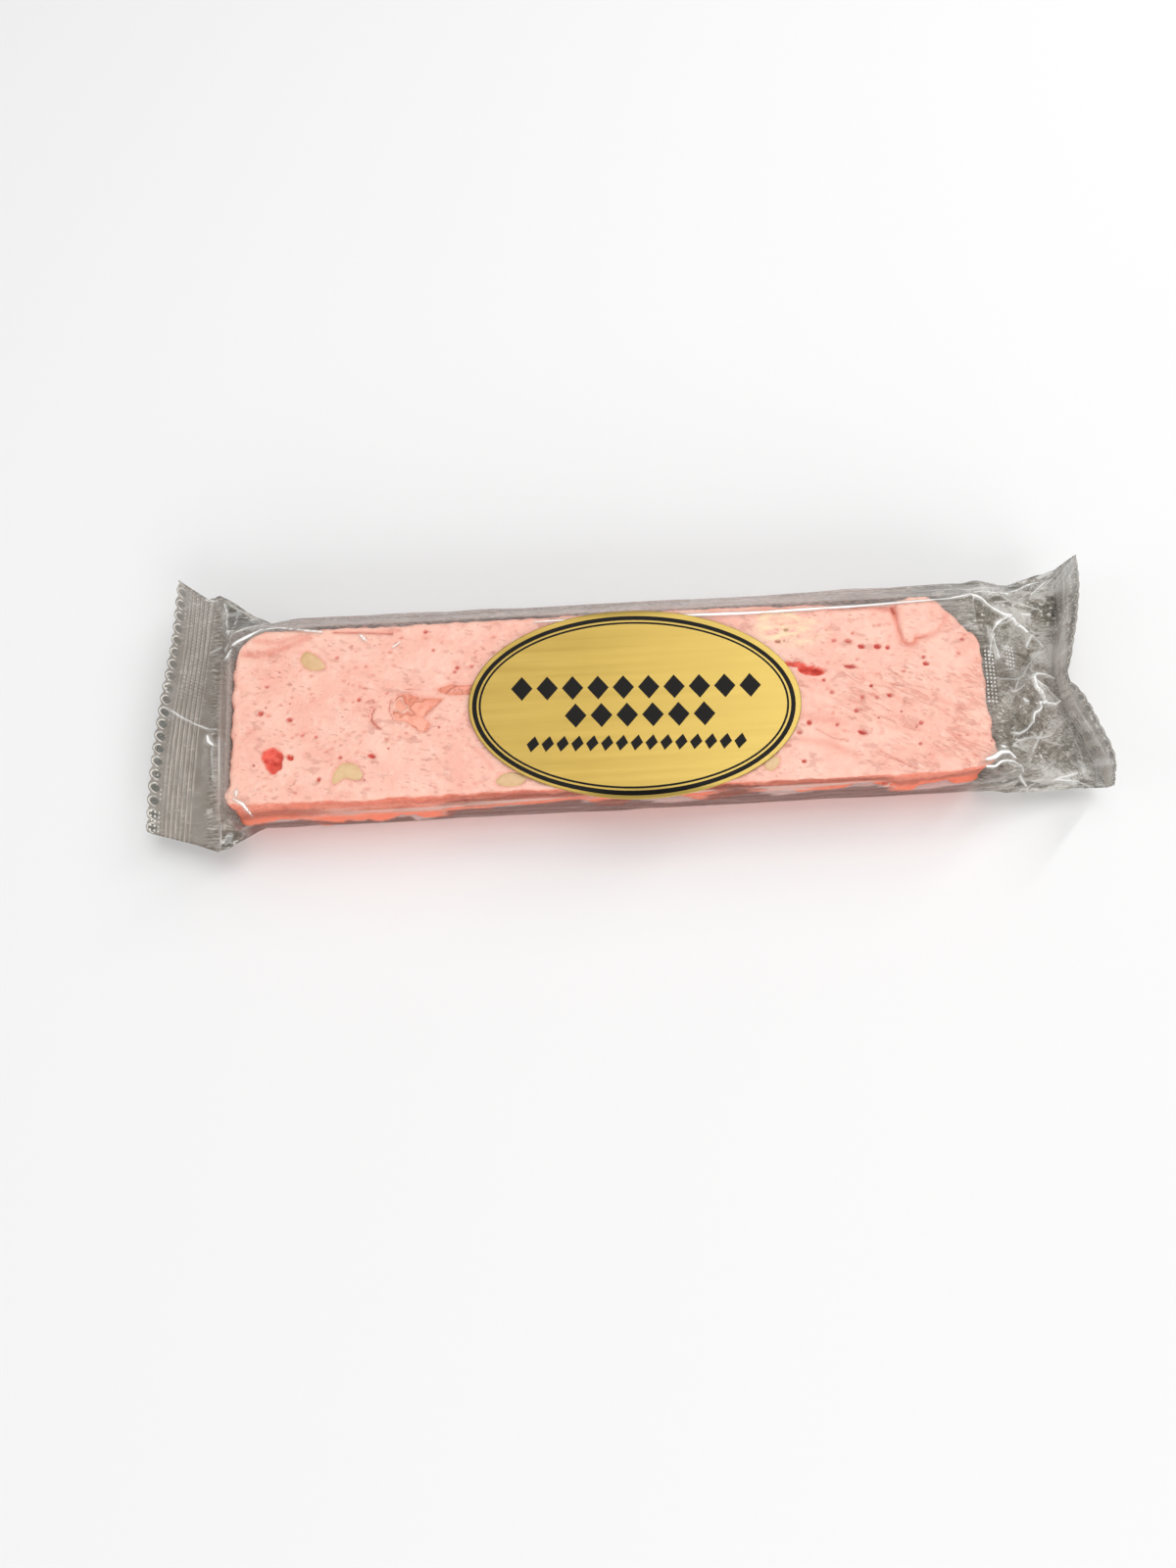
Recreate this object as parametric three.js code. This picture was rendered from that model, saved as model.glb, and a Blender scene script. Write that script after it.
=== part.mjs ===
// A strawberry nougat bar sealed in a clear flow-wrap film, with an oval foil label stuck on top.
// Units are millimetres. +X runs along the bar, +Y goes to its back edge and +Z is up. The origin lies
// on the flat face that the pack rests on, under the middle of the bar.
import * as THREE from "three";
import { mergeVertices } from "three/addons/utils/BufferGeometryUtils.js";

// Driving dimensions
const BAR_LENGTH = 144;
const BAR_WIDTH = 35.5;
const PACK_HEIGHT = 15.8; // from the table to the film that lies on the bar
const EDGE_HEIGHT = 7.5; // where the upper and the lower sheet of the film meet at the sides
const FRONT_SLACK = 1.6; // loose film in front of the bar and behind it
const BACK_SLACK = 6.4;
const SEAM_FRONT = -2.5; // the lengthwise seam folded flat under the pack
const SEAM_BACK = 10.5;
const SEAM_THICKNESS = 0.3;
const FIN_THICKNESS = 0.5; // a crimped end seal, with its ridges
const LABEL_LENGTH = 63.5;
const LABEL_WIDTH = 38.1;
const LABEL_THICKNESS = 0.2;
const LABEL_CENTRE = [4.9, -0.65];
const LABEL_TURN = -2; // degrees, as it was stuck on a little askew
const LABEL_GAP = 0.12;

const HALF_LENGTH = BAR_LENGTH / 2;
const HALF_WIDTH = BAR_WIDTH / 2;
const FRONT_EDGE = -HALF_WIDTH - FRONT_SLACK;
const BACK_EDGE = HALF_WIDTH + BACK_SLACK;

// Each rail is a line across the film, from its front edge to its back edge, as [x, y, z] points.
const LEFT_RAILS = {
  cut: [[-90.6, -18.8, 6.4], [-89.8, -9, 8.4], [-88.7, 7.7, 8], [-87.3, 21, 7.4], [-86.3, 34.1, 8.2]],
  neck: [[-80.4, -22, 6.8], [-79.9, -10, 8.3], [-79.8, 8, 8.2], [-79.8, 20, 7.8], [-79.4, 28.4, 7.4]],
  fold: [[-76.2, -23.7, 7], [-75.9, -13, 8], [-76.3, 3, 8.2], [-76.6, 17, 8], [-77.4, 30.2, 7.6]],
};
const RIGHT_RAILS = {
  fold: [[97.2, -19.4, 4.5], [95.2, -9.5, 5], [93, -1.5, 5.6], [93.3, 8, 5], [94.4, 18.5, 5], [95.6, 28.4, 5.5]],
  cut: [
    [94.8, -21.2, 12.8], [95.4, -16.5, 14], [93.8, -9, 14], [91.2, -2, 14], [89.4, 0.6, 14],
    [90.8, 5.5, 14], [93.6, 14.5, 14], [95.1, 21.6, 14], [95.3, 27.4, 14.2],
  ],
};

// A corner of the film's cross-section is rounded between these two points by a quadratic curve.
function arc(from, corner, to, steps) {
  const curve = new THREE.QuadraticBezierCurve(
    new THREE.Vector2(...from), new THREE.Vector2(...corner), new THREE.Vector2(...to));
  return curve.getPoints(steps).slice(1);
}

function line(from, to, steps) {
  return new THREE.LineCurve(new THREE.Vector2(...from), new THREE.Vector2(...to)).getPoints(steps).slice(1);
}

// The upper sheet over the bar, as (y, z) points from the front edge to the back edge.
function upperSection() {
  const front = [FRONT_EDGE, EDGE_HEIGHT];
  const back = [BACK_EDGE, EDGE_HEIGHT];
  const frontTop = -HALF_WIDTH - 0.5;
  const backTop = HALF_WIDTH + 0.6;
  return [
    new THREE.Vector2(...front),
    ...line(front, [frontTop, PACK_HEIGHT - 1.2], 3),
    ...arc([frontTop, PACK_HEIGHT - 1.2], [frontTop + 0.1, PACK_HEIGHT], [frontTop + 1.2, PACK_HEIGHT], 3),
    ...line([frontTop + 1.2, PACK_HEIGHT], [backTop - 1.4, PACK_HEIGHT], 11),
    ...arc([backTop - 1.4, PACK_HEIGHT], [backTop, PACK_HEIGHT], [backTop + 0.9, PACK_HEIGHT - 1.3], 3),
    ...line([backTop + 0.9, PACK_HEIGHT - 1.3], back, 4),
  ];
}

// The lower sheet, with the flat seam standing out below it, from the front edge to the back edge.
function lowerSection() {
  const step = 0.3;
  const front = [FRONT_EDGE, EDGE_HEIGHT];
  const back = [BACK_EDGE, EDGE_HEIGHT];
  const frontFoot = [-HALF_WIDTH + 0.9, SEAM_THICKNESS];
  const backFoot = [HALF_WIDTH + 2.2, SEAM_THICKNESS];
  return [
    new THREE.Vector2(...front),
    ...line(front, [frontFoot[0] - 1, SEAM_THICKNESS + 1.1], 3),
    ...arc([frontFoot[0] - 1, SEAM_THICKNESS + 1.1], [frontFoot[0] - 0.7, SEAM_THICKNESS], frontFoot, 3),
    ...line(frontFoot, [SEAM_FRONT - step, SEAM_THICKNESS], 4),
    ...line([SEAM_FRONT - step, SEAM_THICKNESS], [SEAM_FRONT, 0], 1),
    ...line([SEAM_FRONT, 0], [SEAM_BACK, 0], 3),
    ...line([SEAM_BACK, 0], [SEAM_BACK + step, SEAM_THICKNESS], 1),
    ...line([SEAM_BACK + step, SEAM_THICKNESS], backFoot, 2),
    ...arc(backFoot, [backFoot[0] + 0.8, SEAM_THICKNESS], [backFoot[0] + 1.2, SEAM_THICKNESS + 1], 3),
    ...line([backFoot[0] + 1.2, SEAM_THICKNESS + 1], back, 4),
  ];
}

const UPPER = upperSection();
const LOWER = lowerSection();
const LAST = UPPER.length - 1;
if (LOWER.length !== UPPER.length) throw new Error("both sheets need the same number of points");

// How far along the sheet each point lies, from 0 at the front edge to 1 at the back edge.
function shares(points) {
  const along = [0];
  for (let i = 1; i < points.length; i++) along.push(along[i - 1] + points[i].distanceTo(points[i - 1]));
  return along.map((length) => length / along.at(-1));
}

const SHARE = shares(UPPER).map((share, i) => (share + shares(LOWER)[i]) / 2);

// One rail's points, one for each point of the cross-section.
function rail(points) {
  const curve = new THREE.CatmullRomCurve3(points.map((p) => new THREE.Vector3(...p)), false, "centripetal");
  return SHARE.map((share) => curve.getPointAt(share));
}

// A ring is the upper sheet from front to back, and then the lower sheet from back to front.
function ring(upper, lower) {
  return [...upper, ...lower.slice(1, LAST).reverse()];
}

function bodyRing(x) {
  const place = (p) => new THREE.Vector3(x, p.x, p.y);
  return ring(UPPER.map(place), LOWER.map(place));
}

// In a seal both sheets lie on one rail, half the seal's thickness to either side of it.
function sealRing(points, side) {
  const apart = side.clone().multiplyScalar(FIN_THICKNESS / 2);
  const shift = (sign) => points.map((p, i) => {
    const edge = i === 0 || i === LAST;
    return edge ? p.clone() : p.clone().addScaledVector(apart, sign);
  });
  return ring(shift(1), shift(-1));
}

function mixRings(a, b, share) {
  return a.map((p, i) => p.clone().lerp(b[i], share));
}

// Past the bar's end a sheet runs on level to its shoulder and then falls or climbs to the fold of the
// seal. At the side edges it runs straight. The corner at the shoulder is rounded.
function endRings(body, fold, shoulderUpper, shoulderLower, shareList) {
  const bend = 0.16;
  const reach = ring(
    SHARE.map((s) => [shoulderUpper, s]),
    SHARE.map((s) => [shoulderLower, s]));
  const corner = body.map((p, i) => {
    const [x, s] = reach[i];
    const level = THREE.MathUtils.smoothstep(Math.min(s, 1 - s), 0, 0.16);
    const straight = p.clone().lerp(fold[i], 0.5);
    return straight.lerp(new THREE.Vector3(x, p.y, p.z), level);
  });
  return shareList.map((q) => body.map((p, i) => {
    const path = (share) => share < 0.5
      ? p.clone().lerp(corner[i], 2 * share)
      : corner[i].clone().lerp(fold[i], 2 * share - 1);
    if (Math.abs(q - 0.5) >= bend) return path(q);
    const curve = new THREE.QuadraticBezierCurve3(path(0.5 - bend), corner[i], path(0.5 + bend));
    return curve.getPoint((q - 0.5 + bend) / (2 * bend));
  }));
}

// Joins the rings into one closed surface, and closes both ends between the two sheets.
function skin(rings) {
  const size = rings[0].length;
  const position = rings.flat().flatMap((p) => [p.x, p.y, p.z]);
  const index = [];
  const quad = (a, b, c, d) => index.push(a, b, c, a, c, d);
  for (let r = 0; r + 1 < rings.length; r++) {
    for (let i = 0; i < size; i++) {
      const j = (i + 1) % size;
      quad(r * size + i, (r + 1) * size + i, (r + 1) * size + j, r * size + j);
    }
  }
  const close = (start, turned) => {
    for (let i = 0; i < LAST; i++) {
      const lower = (k) => (k === 0 ? 0 : size - k);
      const four = [i, i + 1, i + 1 === LAST ? LAST : lower(i + 1), lower(i)];
      const faces = i === 0 ? [[four[0], four[1], four[2]]]
        : i + 1 === LAST ? [[four[0], four[1], four[3]]]
          : [[four[0], four[1], four[2]], [four[0], four[2], four[3]]];
      for (const f of faces) {
        const corners = f.map((k) => start + k);
        index.push(...(turned ? corners.reverse() : corners));
      }
    }
  };
  close(0, false);
  close((rings.length - 1) * size, true);
  return new THREE.BufferGeometry()
    .setAttribute("position", new THREE.Float32BufferAttribute(position, 3))
    .setIndex(index);
}

// The filled film tube, its two folded ends and the crimped seals.
function filmPack() {
  const up = new THREE.Vector3(0, 0, 1);
  const inward = new THREE.Vector3(-0.94, 0, 0.34); // the right seal stands up, so its sheets lie side by side
  const steps = (count) => Array.from({ length: count + 1 }, (_, i) => i / count);
  const leftCut = sealRing(rail(LEFT_RAILS.cut), up);
  const leftNeck = sealRing(rail(LEFT_RAILS.neck), up);
  const leftFold = sealRing(rail(LEFT_RAILS.fold), up);
  const rightFold = sealRing(rail(RIGHT_RAILS.fold), inward);
  const rightCut = sealRing(rail(RIGHT_RAILS.cut), inward);
  const left = HALF_LENGTH - 5;
  const right = HALF_LENGTH - 2;
  const leftEnd = endRings(bodyRing(-left), leftFold, -HALF_LENGTH - 0.7, -HALF_LENGTH - 0.4,
    [0.2, 0.34, 0.42, 0.5, 0.58, 0.66, 0.82]);
  const rightEnd = endRings(bodyRing(right), rightFold, HALF_LENGTH + 1.6, HALF_LENGTH + 13,
    [0.2, 0.34, 0.42, 0.5, 0.58, 0.66, 0.75, 0.84, 0.92]);
  const body = steps(8).map((share) => bodyRing(THREE.MathUtils.lerp(-left, right, share)));
  return skin([
    leftCut, mixRings(leftCut, leftNeck, 0.5), leftNeck, leftFold, ...leftEnd.reverse(),
    ...body, ...rightEnd, rightFold, mixRings(rightFold, rightCut, 0.5), rightCut,
  ]);
}

// How far the label's long edges bend down where it reaches past the flat top of the pack.
function labelDrop(y) {
  const bendRadius = 5;
  const past = Math.max(0, Math.abs(y) - HALF_WIDTH + 0.6);
  return past ** 2 / (2 * bendRadius);
}

// An oval sheet: rings of points on both faces, out to a rim that joins them.
function label() {
  const around = 64;
  const ringShares = [0.35, 0.65, 0.8, 0.86, 0.9, 0.93, 0.965, 1];
  const rings = ringShares.length;
  const turn = THREE.MathUtils.degToRad(LABEL_TURN);
  const low = PACK_HEIGHT + LABEL_GAP;
  const shape = new THREE.EllipseCurve(0, 0, LABEL_LENGTH / 2, LABEL_WIDTH / 2, 0, 2 * Math.PI, false, turn);
  const rim = shape.getPoints(around).slice(0, around);
  const place = (p, share, z) => {
    const y = LABEL_CENTRE[1] + p.y * share;
    return [LABEL_CENTRE[0] + p.x * share, y, z - labelDrop(y)];
  };
  const position = [];
  const index = [];
  const faces = [low + LABEL_THICKNESS, low];
  faces.forEach((z, face) => {
    const first = position.length / 3;
    const add = (a, b, c) => index.push(...(face === 0 ? [a, b, c] : [a, c, b]));
    position.push(...place({ x: 0, y: 0 }, 1, z));
    ringShares.forEach((share) => rim.forEach((p) => position.push(...place(p, share, z))));
    for (let i = 0; i < around; i++) {
      const j = (i + 1) % around;
      add(first, first + 1 + i, first + 1 + j);
      for (let r = 1; r < rings; r++) {
        const inner = first + 1 + (r - 1) * around;
        add(inner + i, inner + around + i, inner + around + j);
        add(inner + i, inner + around + j, inner + j);
      }
    }
  });
  const points = 1 + rings * around;
  const top = 1 + (rings - 1) * around;
  for (let i = 0; i < around; i++) {
    const j = (i + 1) % around;
    index.push(top + i, points + top + i, points + top + j, top + i, points + top + j, top + j);
  }
  return new THREE.BufferGeometry()
    .setAttribute("position", new THREE.Float32BufferAttribute(position, 3))
    .setIndex(index);
}

function named(name, geometry, material) {
  const mesh = new THREE.Mesh(mergeVertices(geometry, 1e-4), material);
  mesh.name = name;
  return mesh;
}

const nougatInFilm = new THREE.MeshStandardMaterial({ color: 0xfbbfae, roughness: 0.35, metalness: 0 });
const goldFoil = new THREE.MeshStandardMaterial({ color: 0xdebd62, roughness: 0.35, metalness: 0.9 });

const pack = new THREE.Group();
pack.add(named("film_pack", filmPack(), nougatInFilm));
pack.add(named("label", label(), goldFoil));

export default pack;
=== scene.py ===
import math

import bmesh
import bpy
import numpy as np
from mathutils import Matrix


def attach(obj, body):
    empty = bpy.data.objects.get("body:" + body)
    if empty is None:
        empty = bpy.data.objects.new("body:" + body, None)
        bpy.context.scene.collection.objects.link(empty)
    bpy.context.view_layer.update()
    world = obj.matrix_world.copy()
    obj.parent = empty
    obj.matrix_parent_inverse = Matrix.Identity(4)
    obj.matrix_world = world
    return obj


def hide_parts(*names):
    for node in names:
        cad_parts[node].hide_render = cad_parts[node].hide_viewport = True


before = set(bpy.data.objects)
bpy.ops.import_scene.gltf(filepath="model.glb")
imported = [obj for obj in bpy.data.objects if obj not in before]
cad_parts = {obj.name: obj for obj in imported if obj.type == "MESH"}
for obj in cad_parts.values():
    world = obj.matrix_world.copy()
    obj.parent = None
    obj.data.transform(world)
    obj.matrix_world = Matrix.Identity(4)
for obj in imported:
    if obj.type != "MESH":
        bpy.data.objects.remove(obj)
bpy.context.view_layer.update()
mm = 0.001

# The nougat bar: a slab of soft pink nougat, cut from a larger block. Its top is cut flat but full of pores
# and smears, its front side leans in towards the bottom, and the back right corner is cut off. A flake
# beside that corner has lifted a little.
bar_left, bar_right = -71.4, 72.3
bar_half_width = 17.75
bar_bottom, bar_top = 0.45, 15.45
bar_corner = 0.9
bar_ring_pitch = 0.3
bar_end_depth = 7.2


def arc(centre, radius, start, end, steps):
    """Points on a circle from one angle to another, in degrees."""
    angle = np.radians(np.linspace(start, end, steps))
    return np.column_stack([centre[0] + radius * np.cos(angle), centre[1] + radius * np.sin(angle)])


def slab_section(half, low, high, radius):
    """A rounded rectangle of (y, z) points from the lower front corner up the front, over the top and back
    underneath. The top has the closest points, because most of the detail is there."""
    corners = [
        arc((radius - half, low + radius), radius, 270, 180, 4),
        arc((radius - half, high - radius), radius, 180, 90, 6),
        arc((half - radius, high - radius), radius, 90, 0, 6),
        arc((half - radius, low + radius), radius, 0, -90, 4),
    ]
    between = [34, 114, 20, 10]
    runs = []
    for corner, after, steps in zip(corners, corners[1:] + corners[:1], between):
        runs += [corner, np.linspace(corner[-1], after[0], steps)[1:-1]]
    return np.vstack(runs)


def slab_rings(low, high, radius, pitch, depth):
    """For each ring along a slab: its x, and how far it is drawn in from the outline. The ends are rounded
    by quarter circles, and their faces are rings that are drawn in further and further."""
    turn = np.radians(np.linspace(0, 90, 5))
    face = np.linspace(radius, depth, 15)[1:]
    end_x = np.r_[radius * (1 - np.sin(turn)), np.zeros(len(face))]
    end_inset = np.r_[radius * (1 - np.cos(turn)), face]
    body_x = np.arange(low + radius, high - radius, pitch)[1:]
    return (
        np.r_[(low + end_x)[::-1], body_x, high - end_x],
        np.r_[end_inset[::-1], np.zeros(len(body_x)), end_inset],
    )


def crumb(points, size, seed):
    """Smooth random values between -1 and 1. A cube lattice of the given size holds random numbers, and
    each point blends the eight around it by how near they are."""
    lattice = np.random.default_rng(seed).uniform(-1, 1, (32, 32, 32))
    place = points / size
    cell = np.floor(place).astype(int)
    part = place - cell
    part = part * part * (3 - 2 * part)
    total = np.zeros(points.shape[:-1])
    for corner in np.ndindex(2, 2, 2):
        weight = np.prod(np.where(np.array(corner, bool), part, 1 - part), axis=-1)
        a, b, c = np.moveaxis((cell + np.array(corner)) % 32, -1, 0)
        total += weight * lattice[a, b, c]
    return total


def ramp(value, start, end):
    """0 before start, 1 past end, and a smooth step between them. It falls where start is the higher one."""
    share = np.clip((value - start) / (end - start), 0, 1)
    return share * share * (3 - 2 * share)


def grid_normals(points):
    """Unit normals of a grid of rings that each close on themselves: the cross product of the directions
    along the grid's rows and columns."""
    along = np.gradient(points, axis=0)
    around = np.roll(points, -1, axis=1) - np.roll(points, 1, axis=1)
    normal = np.cross(along, around)
    return normal / np.maximum(np.linalg.norm(normal, axis=-1, keepdims=True), 1e-9)


def oval_share(x, y, centre, radii, turn):
    """0 at the middle of a turned oval, 1 on its edge and more outside."""
    cos, sin = math.cos(math.radians(turn)), math.sin(math.radians(turn))
    along = (x - centre[0]) * cos + (y - centre[1]) * sin
    across = (y - centre[1]) * cos - (x - centre[0]) * sin
    return np.hypot(along / radii[0], across / radii[1])


def nearest_on_line(x, y, corners):
    """Distance from each point to the nearest straight piece of a line of corners, and the share of the
    line's length at which that nearest place lies."""
    corners = np.array(corners, float)
    nearest, length_share = np.full(x.shape, 1e9), np.zeros(x.shape)
    lengths = np.linalg.norm(np.diff(corners, axis=0), axis=1)
    before = np.r_[0, np.cumsum(lengths)]
    for start, end, length, passed in zip(corners, corners[1:], lengths, before):
        step = end - start
        share = ((x - start[0]) * step[0] + (y - start[1]) * step[1]) / (step @ step)
        share = np.clip(share, 0, 1)
        gap = np.hypot(x - start[0] - share * step[0], y - start[1] - share * step[1])
        length_share = np.where(gap < nearest, (passed + share * length) / before[-1], length_share)
        nearest = np.minimum(nearest, gap)
    return nearest, length_share


def line_distance(x, y, corners, closed=False):
    """Distance from each point to a line of corners, which may close on itself."""
    return nearest_on_line(x, y, corners + corners[:1] if closed else corners)[0]


def inside(x, y, corners):
    """True where a point lies inside an outline: a ray towards +x crosses it an odd number of times."""
    odd = np.zeros(x.shape, bool)
    for (ax, ay), (bx, by) in zip(corners, corners[1:] + corners[:1]):
        if ay == by:
            continue
        crossing = ax + (y - ay) * (bx - ax) / (by - ay)
        odd ^= ((ay > y) != (by > y)) & (x < crossing)
    return odd


def new_piece(name, points, faces, masks=()):
    """A smooth-shaded mesh object from points in millimetres. Its faces are turned outwards, and each mask
    becomes a point attribute."""
    mesh = bpy.data.meshes.new(name)
    mesh.from_pydata((points.reshape(-1, 3) * mm).tolist(), [], faces)
    for mask, values in dict(masks).items():
        layer = mesh.attributes.new(mask, "FLOAT", "POINT")
        layer.data.foreach_set("value", np.clip(values, 0, 1).astype(np.float32).ravel())
    solid = bmesh.new()
    solid.from_mesh(mesh)
    bmesh.ops.recalc_face_normals(solid, faces=solid.faces)
    solid.to_mesh(mesh)
    solid.free()
    mesh.shade_smooth()
    piece = bpy.data.objects.new(name, mesh)
    bpy.context.scene.collection.objects.link(piece)
    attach(piece, "root")
    return piece


def ring_faces(rings, around):
    """Quads between neighbouring rings that close on themselves, and a fan over each end. The fans' middle
    points follow the last ring."""
    r, c = np.meshgrid(np.arange(rings - 1), np.arange(around), indexing="ij")
    here, beside = r * around + c, r * around + (c + 1) % around
    quads = np.stack([here, beside, beside + around, here + around], -1).reshape(-1, 4)
    c = np.arange(around)
    n = (c + 1) % around
    last = (rings - 1) * around
    first_fan = np.stack([n, c, np.full(around, rings * around)], -1)
    last_fan = np.stack([last + c, last + n, np.full(around, rings * around + 1)], -1)
    return quads.tolist() + first_fan.tolist() + last_fan.tolist()


def with_middles(grid):
    """The grid's values in one row, followed by the means of its first and last ring."""
    flat = grid.reshape(-1, *grid.shape[2:])
    return np.concatenate([flat, grid[:1].mean(axis=1), grid[-1:].mean(axis=1)])


def ring_piece(name, grid, masks=()):
    """A piece from a grid of rings that close on themselves, with its masks as grids of the same size."""
    masks = {mask: with_middles(values) for mask, values in dict(masks).items()}
    return new_piece(name, with_middles(grid), ring_faces(*grid.shape[:2]), masks)


ring_x, ring_inset = slab_rings(bar_left, bar_right, bar_corner, bar_ring_pitch, bar_end_depth)
section = slab_section(bar_half_width, bar_bottom, bar_top, bar_corner)
middle_z = (bar_bottom + bar_top) / 2
half_height = (bar_top - bar_bottom) / 2
back_edge = np.interp(
    ring_x,
    [-71.4, -70.6, -69.4, -66.5, -30, 24, 30, 42, 56, 58.2, 60, 63.6, 65.6, 66.8, 69.8, 70.4, 71.9, 72.3],
    [13.4, 15.6, 17.2, 18.3, 18.2, 18.6, 18.6, 18.0, 17.5, 18.3, 18.9, 18.9, 17.7, 16.2, 12.3, 11.1,
     10.4, 8.9],
)
front_edge = np.interp(
    ring_x,
    [-71.4, -69, -46, -20, 22, 46, 56, 70, 72.3],
    [-16.4, -16.9, -17.1, -16.9, -17.6, -17.8, -17.6, -17.0, -16.0],
)
front_foot = np.interp(
    ring_x,
    [-72, -58, -39.4, -37.6, -32.6, -30.6, -25, -12, 28, 44, 52, 55, 60, 72],
    [-16.0, -16.6, -16.4, -17.3, -17.4, -16.1, -15.7, -15.4, -15.6, -14.6, -14.8, -16.1, -15.9, -14.6],
)
centre_y = (back_edge + front_edge) / 2
half_y = (back_edge - front_edge) / 2
y = centre_y[:, None] + section[:, 0] / bar_half_width * (half_y - ring_inset)[:, None]
z = middle_z + (section[:, 1] - middle_z) * (1 - ring_inset / half_height)[:, None]
x = np.repeat(ring_x[:, None], len(section), axis=1)

# The front side leans in towards its foot. The ends aren't cut square: each has its own outline of x at
# places from front to back, which the rings near it follow. All the cut edges are ragged.
height = (z - bar_bottom) / (bar_top - bar_bottom)
front_share = ramp(-section[:, 0] / bar_half_width, 0, 1)
y += (front_foot - front_edge)[:, None] * (1 - height) * front_share
left_end = np.interp(
    y, [-17, -14.6, -12.6, -5.9, 3, 9, 12, 17], [-73.0, -72.9, -72.1, -71.9, -71.8, -72.2, -71.7, -71.2]
)
right_end = np.interp(
    y,
    [-16.6, -15, -13.7, -11.7, -9.7, -8.2, -6, 0.2, 5.1, 8, 10],
    [71.4, 72.7, 73.0, 72.7, 72.3, 72.7, 72.3, 72.6, 72.7, 72.7, 72.3],
)
near_left, near_right = ramp(ring_x, -62, -70.5)[:, None], ramp(ring_x, 64, 71)[:, None]
x += (left_end - bar_left) * near_left + (right_end - bar_right) * near_right
bar = np.stack([x, y, z], -1)
lumpy = 0.3 * crumb(bar, 2.6, 16) + 0.2 * crumb(bar, 1.0, 17)
x += lumpy * (ramp(ring_x, 69.5, 71.3) - ramp(ring_x, -69, -70.6))[:, None]
rim = ramp(np.abs(section[:, 0]) / bar_half_width, 0.94, 0.99)
y += np.sign(section[:, 0]) * rim * (0.2 * crumb(bar, 2.8, 14) + 0.13 * crumb(bar, 0.9, 15))
bar = np.stack([x, y, z], -1)
normal = grid_normals(bar)
normal *= np.sign((normal[..., 2] * (z - middle_z)).sum())
top = ramp(normal[..., 2], 0.75, 0.98)
side = 1 - ramp(normal[..., 2], 0.1, 0.75)

# Relief of the cut top: soft unevenness, short dents where the knife dragged crumbs along, and slanting
# wrinkles towards the right front corner.
relief = 0.12 * crumb(bar, 7, 1) + 0.08 * crumb(bar, 2.3, 2) + 0.05 * crumb(bar, 0.75, 3)


def turned(degrees, length, width=1.0):
    """The bar's points in axes turned about z, measured in lengths along and across the turned direction."""
    cos, sin = math.cos(math.radians(degrees)), math.sin(math.radians(degrees))
    return np.stack([(x * cos + y * sin) / length, (y * cos - x * sin) / width, z], -1)


dents = ramp(crumb(turned(-12, 1.9, 0.75), 1.0, 4) + 0.5 * crumb(bar, 4.5, 5), 0.42, 0.9)
wrinkle_zone = ramp(x + 1.4 * y, 22, 46) * ramp(y, 9, 0) * top
wrinkle_gate = ramp(crumb(bar, 2.6, 18), -0.25, 0.35)
wrinkles = ramp(1 - np.abs(crumb(turned(-31, 4.6, 1.0), 1.25, 6)), 0.84, 0.99) * wrinkle_gate
wrinkles = np.maximum(wrinkles, 0.7 * ramp(1 - np.abs(crumb(turned(-24, 3.2, 1.0), 0.9, 19)), 0.84, 0.99))
wrinkles *= wrinkle_zone
soft_folds = crumb(turned(-31, 6.0, 1.0), 0.75, 21) + 0.5 * crumb(turned(-24, 4.0, 1.0), 0.5, 22)
relief -= 0.1 * top * dents + 0.2 * wrinkles - 0.13 * wrinkle_zone * soft_folds
# The dents and wrinkles are rosier, and so are the hollows between the soft folds: painted shade there.
rose_and_shade = top * (0.2 * dents + 0.25 * wrinkles) + 0.16 * wrinkle_zone * np.clip(-soft_folds, 0, 1)
wrinkled = top * (0.12 + 0.88 * ramp(x + 1.4 * y, 20, 44) * ramp(y, 9, 2))

# Rosier smears: at the back left corner, along the back edge, and in bands by the wrinkles.
smears = [
    ([(-70.2, 13.6), (-66.4, 13.2), (-62.0, 14.6), (-57.6, 16.4)], 0.9, 0.5),
    ([(-68.0, 16.2), (-63.4, 15.6), (-59.0, 16.8)], 0.6, 0.45),
    ([(-53.0, 17.4), (-46.0, 17.0), (-40.0, 16.9)], 0.4, 0.4),
    ([(34.0, -3.6), (39.0, -5.6), (43.0, -6.4)], 0.9, 0.35),
    ([(36.0, -9.6), (41.0, -10.6), (46.0, -13.4)], 0.8, 0.35),
    ([(44.0, 17.0), (52.0, 17.0), (56.6, 16.0), (57.4, 12.6)], 0.6, 0.7),
    ([(28.0, 17.2), (36.0, 17.6)], 0.5, 0.5),
    ([(-27.0, -7.0), (-24.4, -9.6), (-22.8, -12.2)], 0.5, 0.3),
]
for corners, width, red in smears:
    rose_and_shade = np.maximum(rose_and_shade, red * top * np.exp(-((line_distance(x, y, corners) / width) ** 2)))

# The sides are torn and crumbly: layers drawn out along the front, and lumps that bulge at its foot.
foot = ramp(z, 9, 3) * ramp(-normal[..., 1], 0.3, 0.9)
layers = crumb(bar * np.array([0.12, 1, 1]), 1.6, 8)
lumps = ramp(crumb(bar * np.array([0.5, 1, 0.55]), 3.2, 9), 0.0, 0.6)
relief += side * (0.2 * crumb(bar, 1.9, 7) + 0.16 * layers)
relief += foot * 1.1 * lumps

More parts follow.
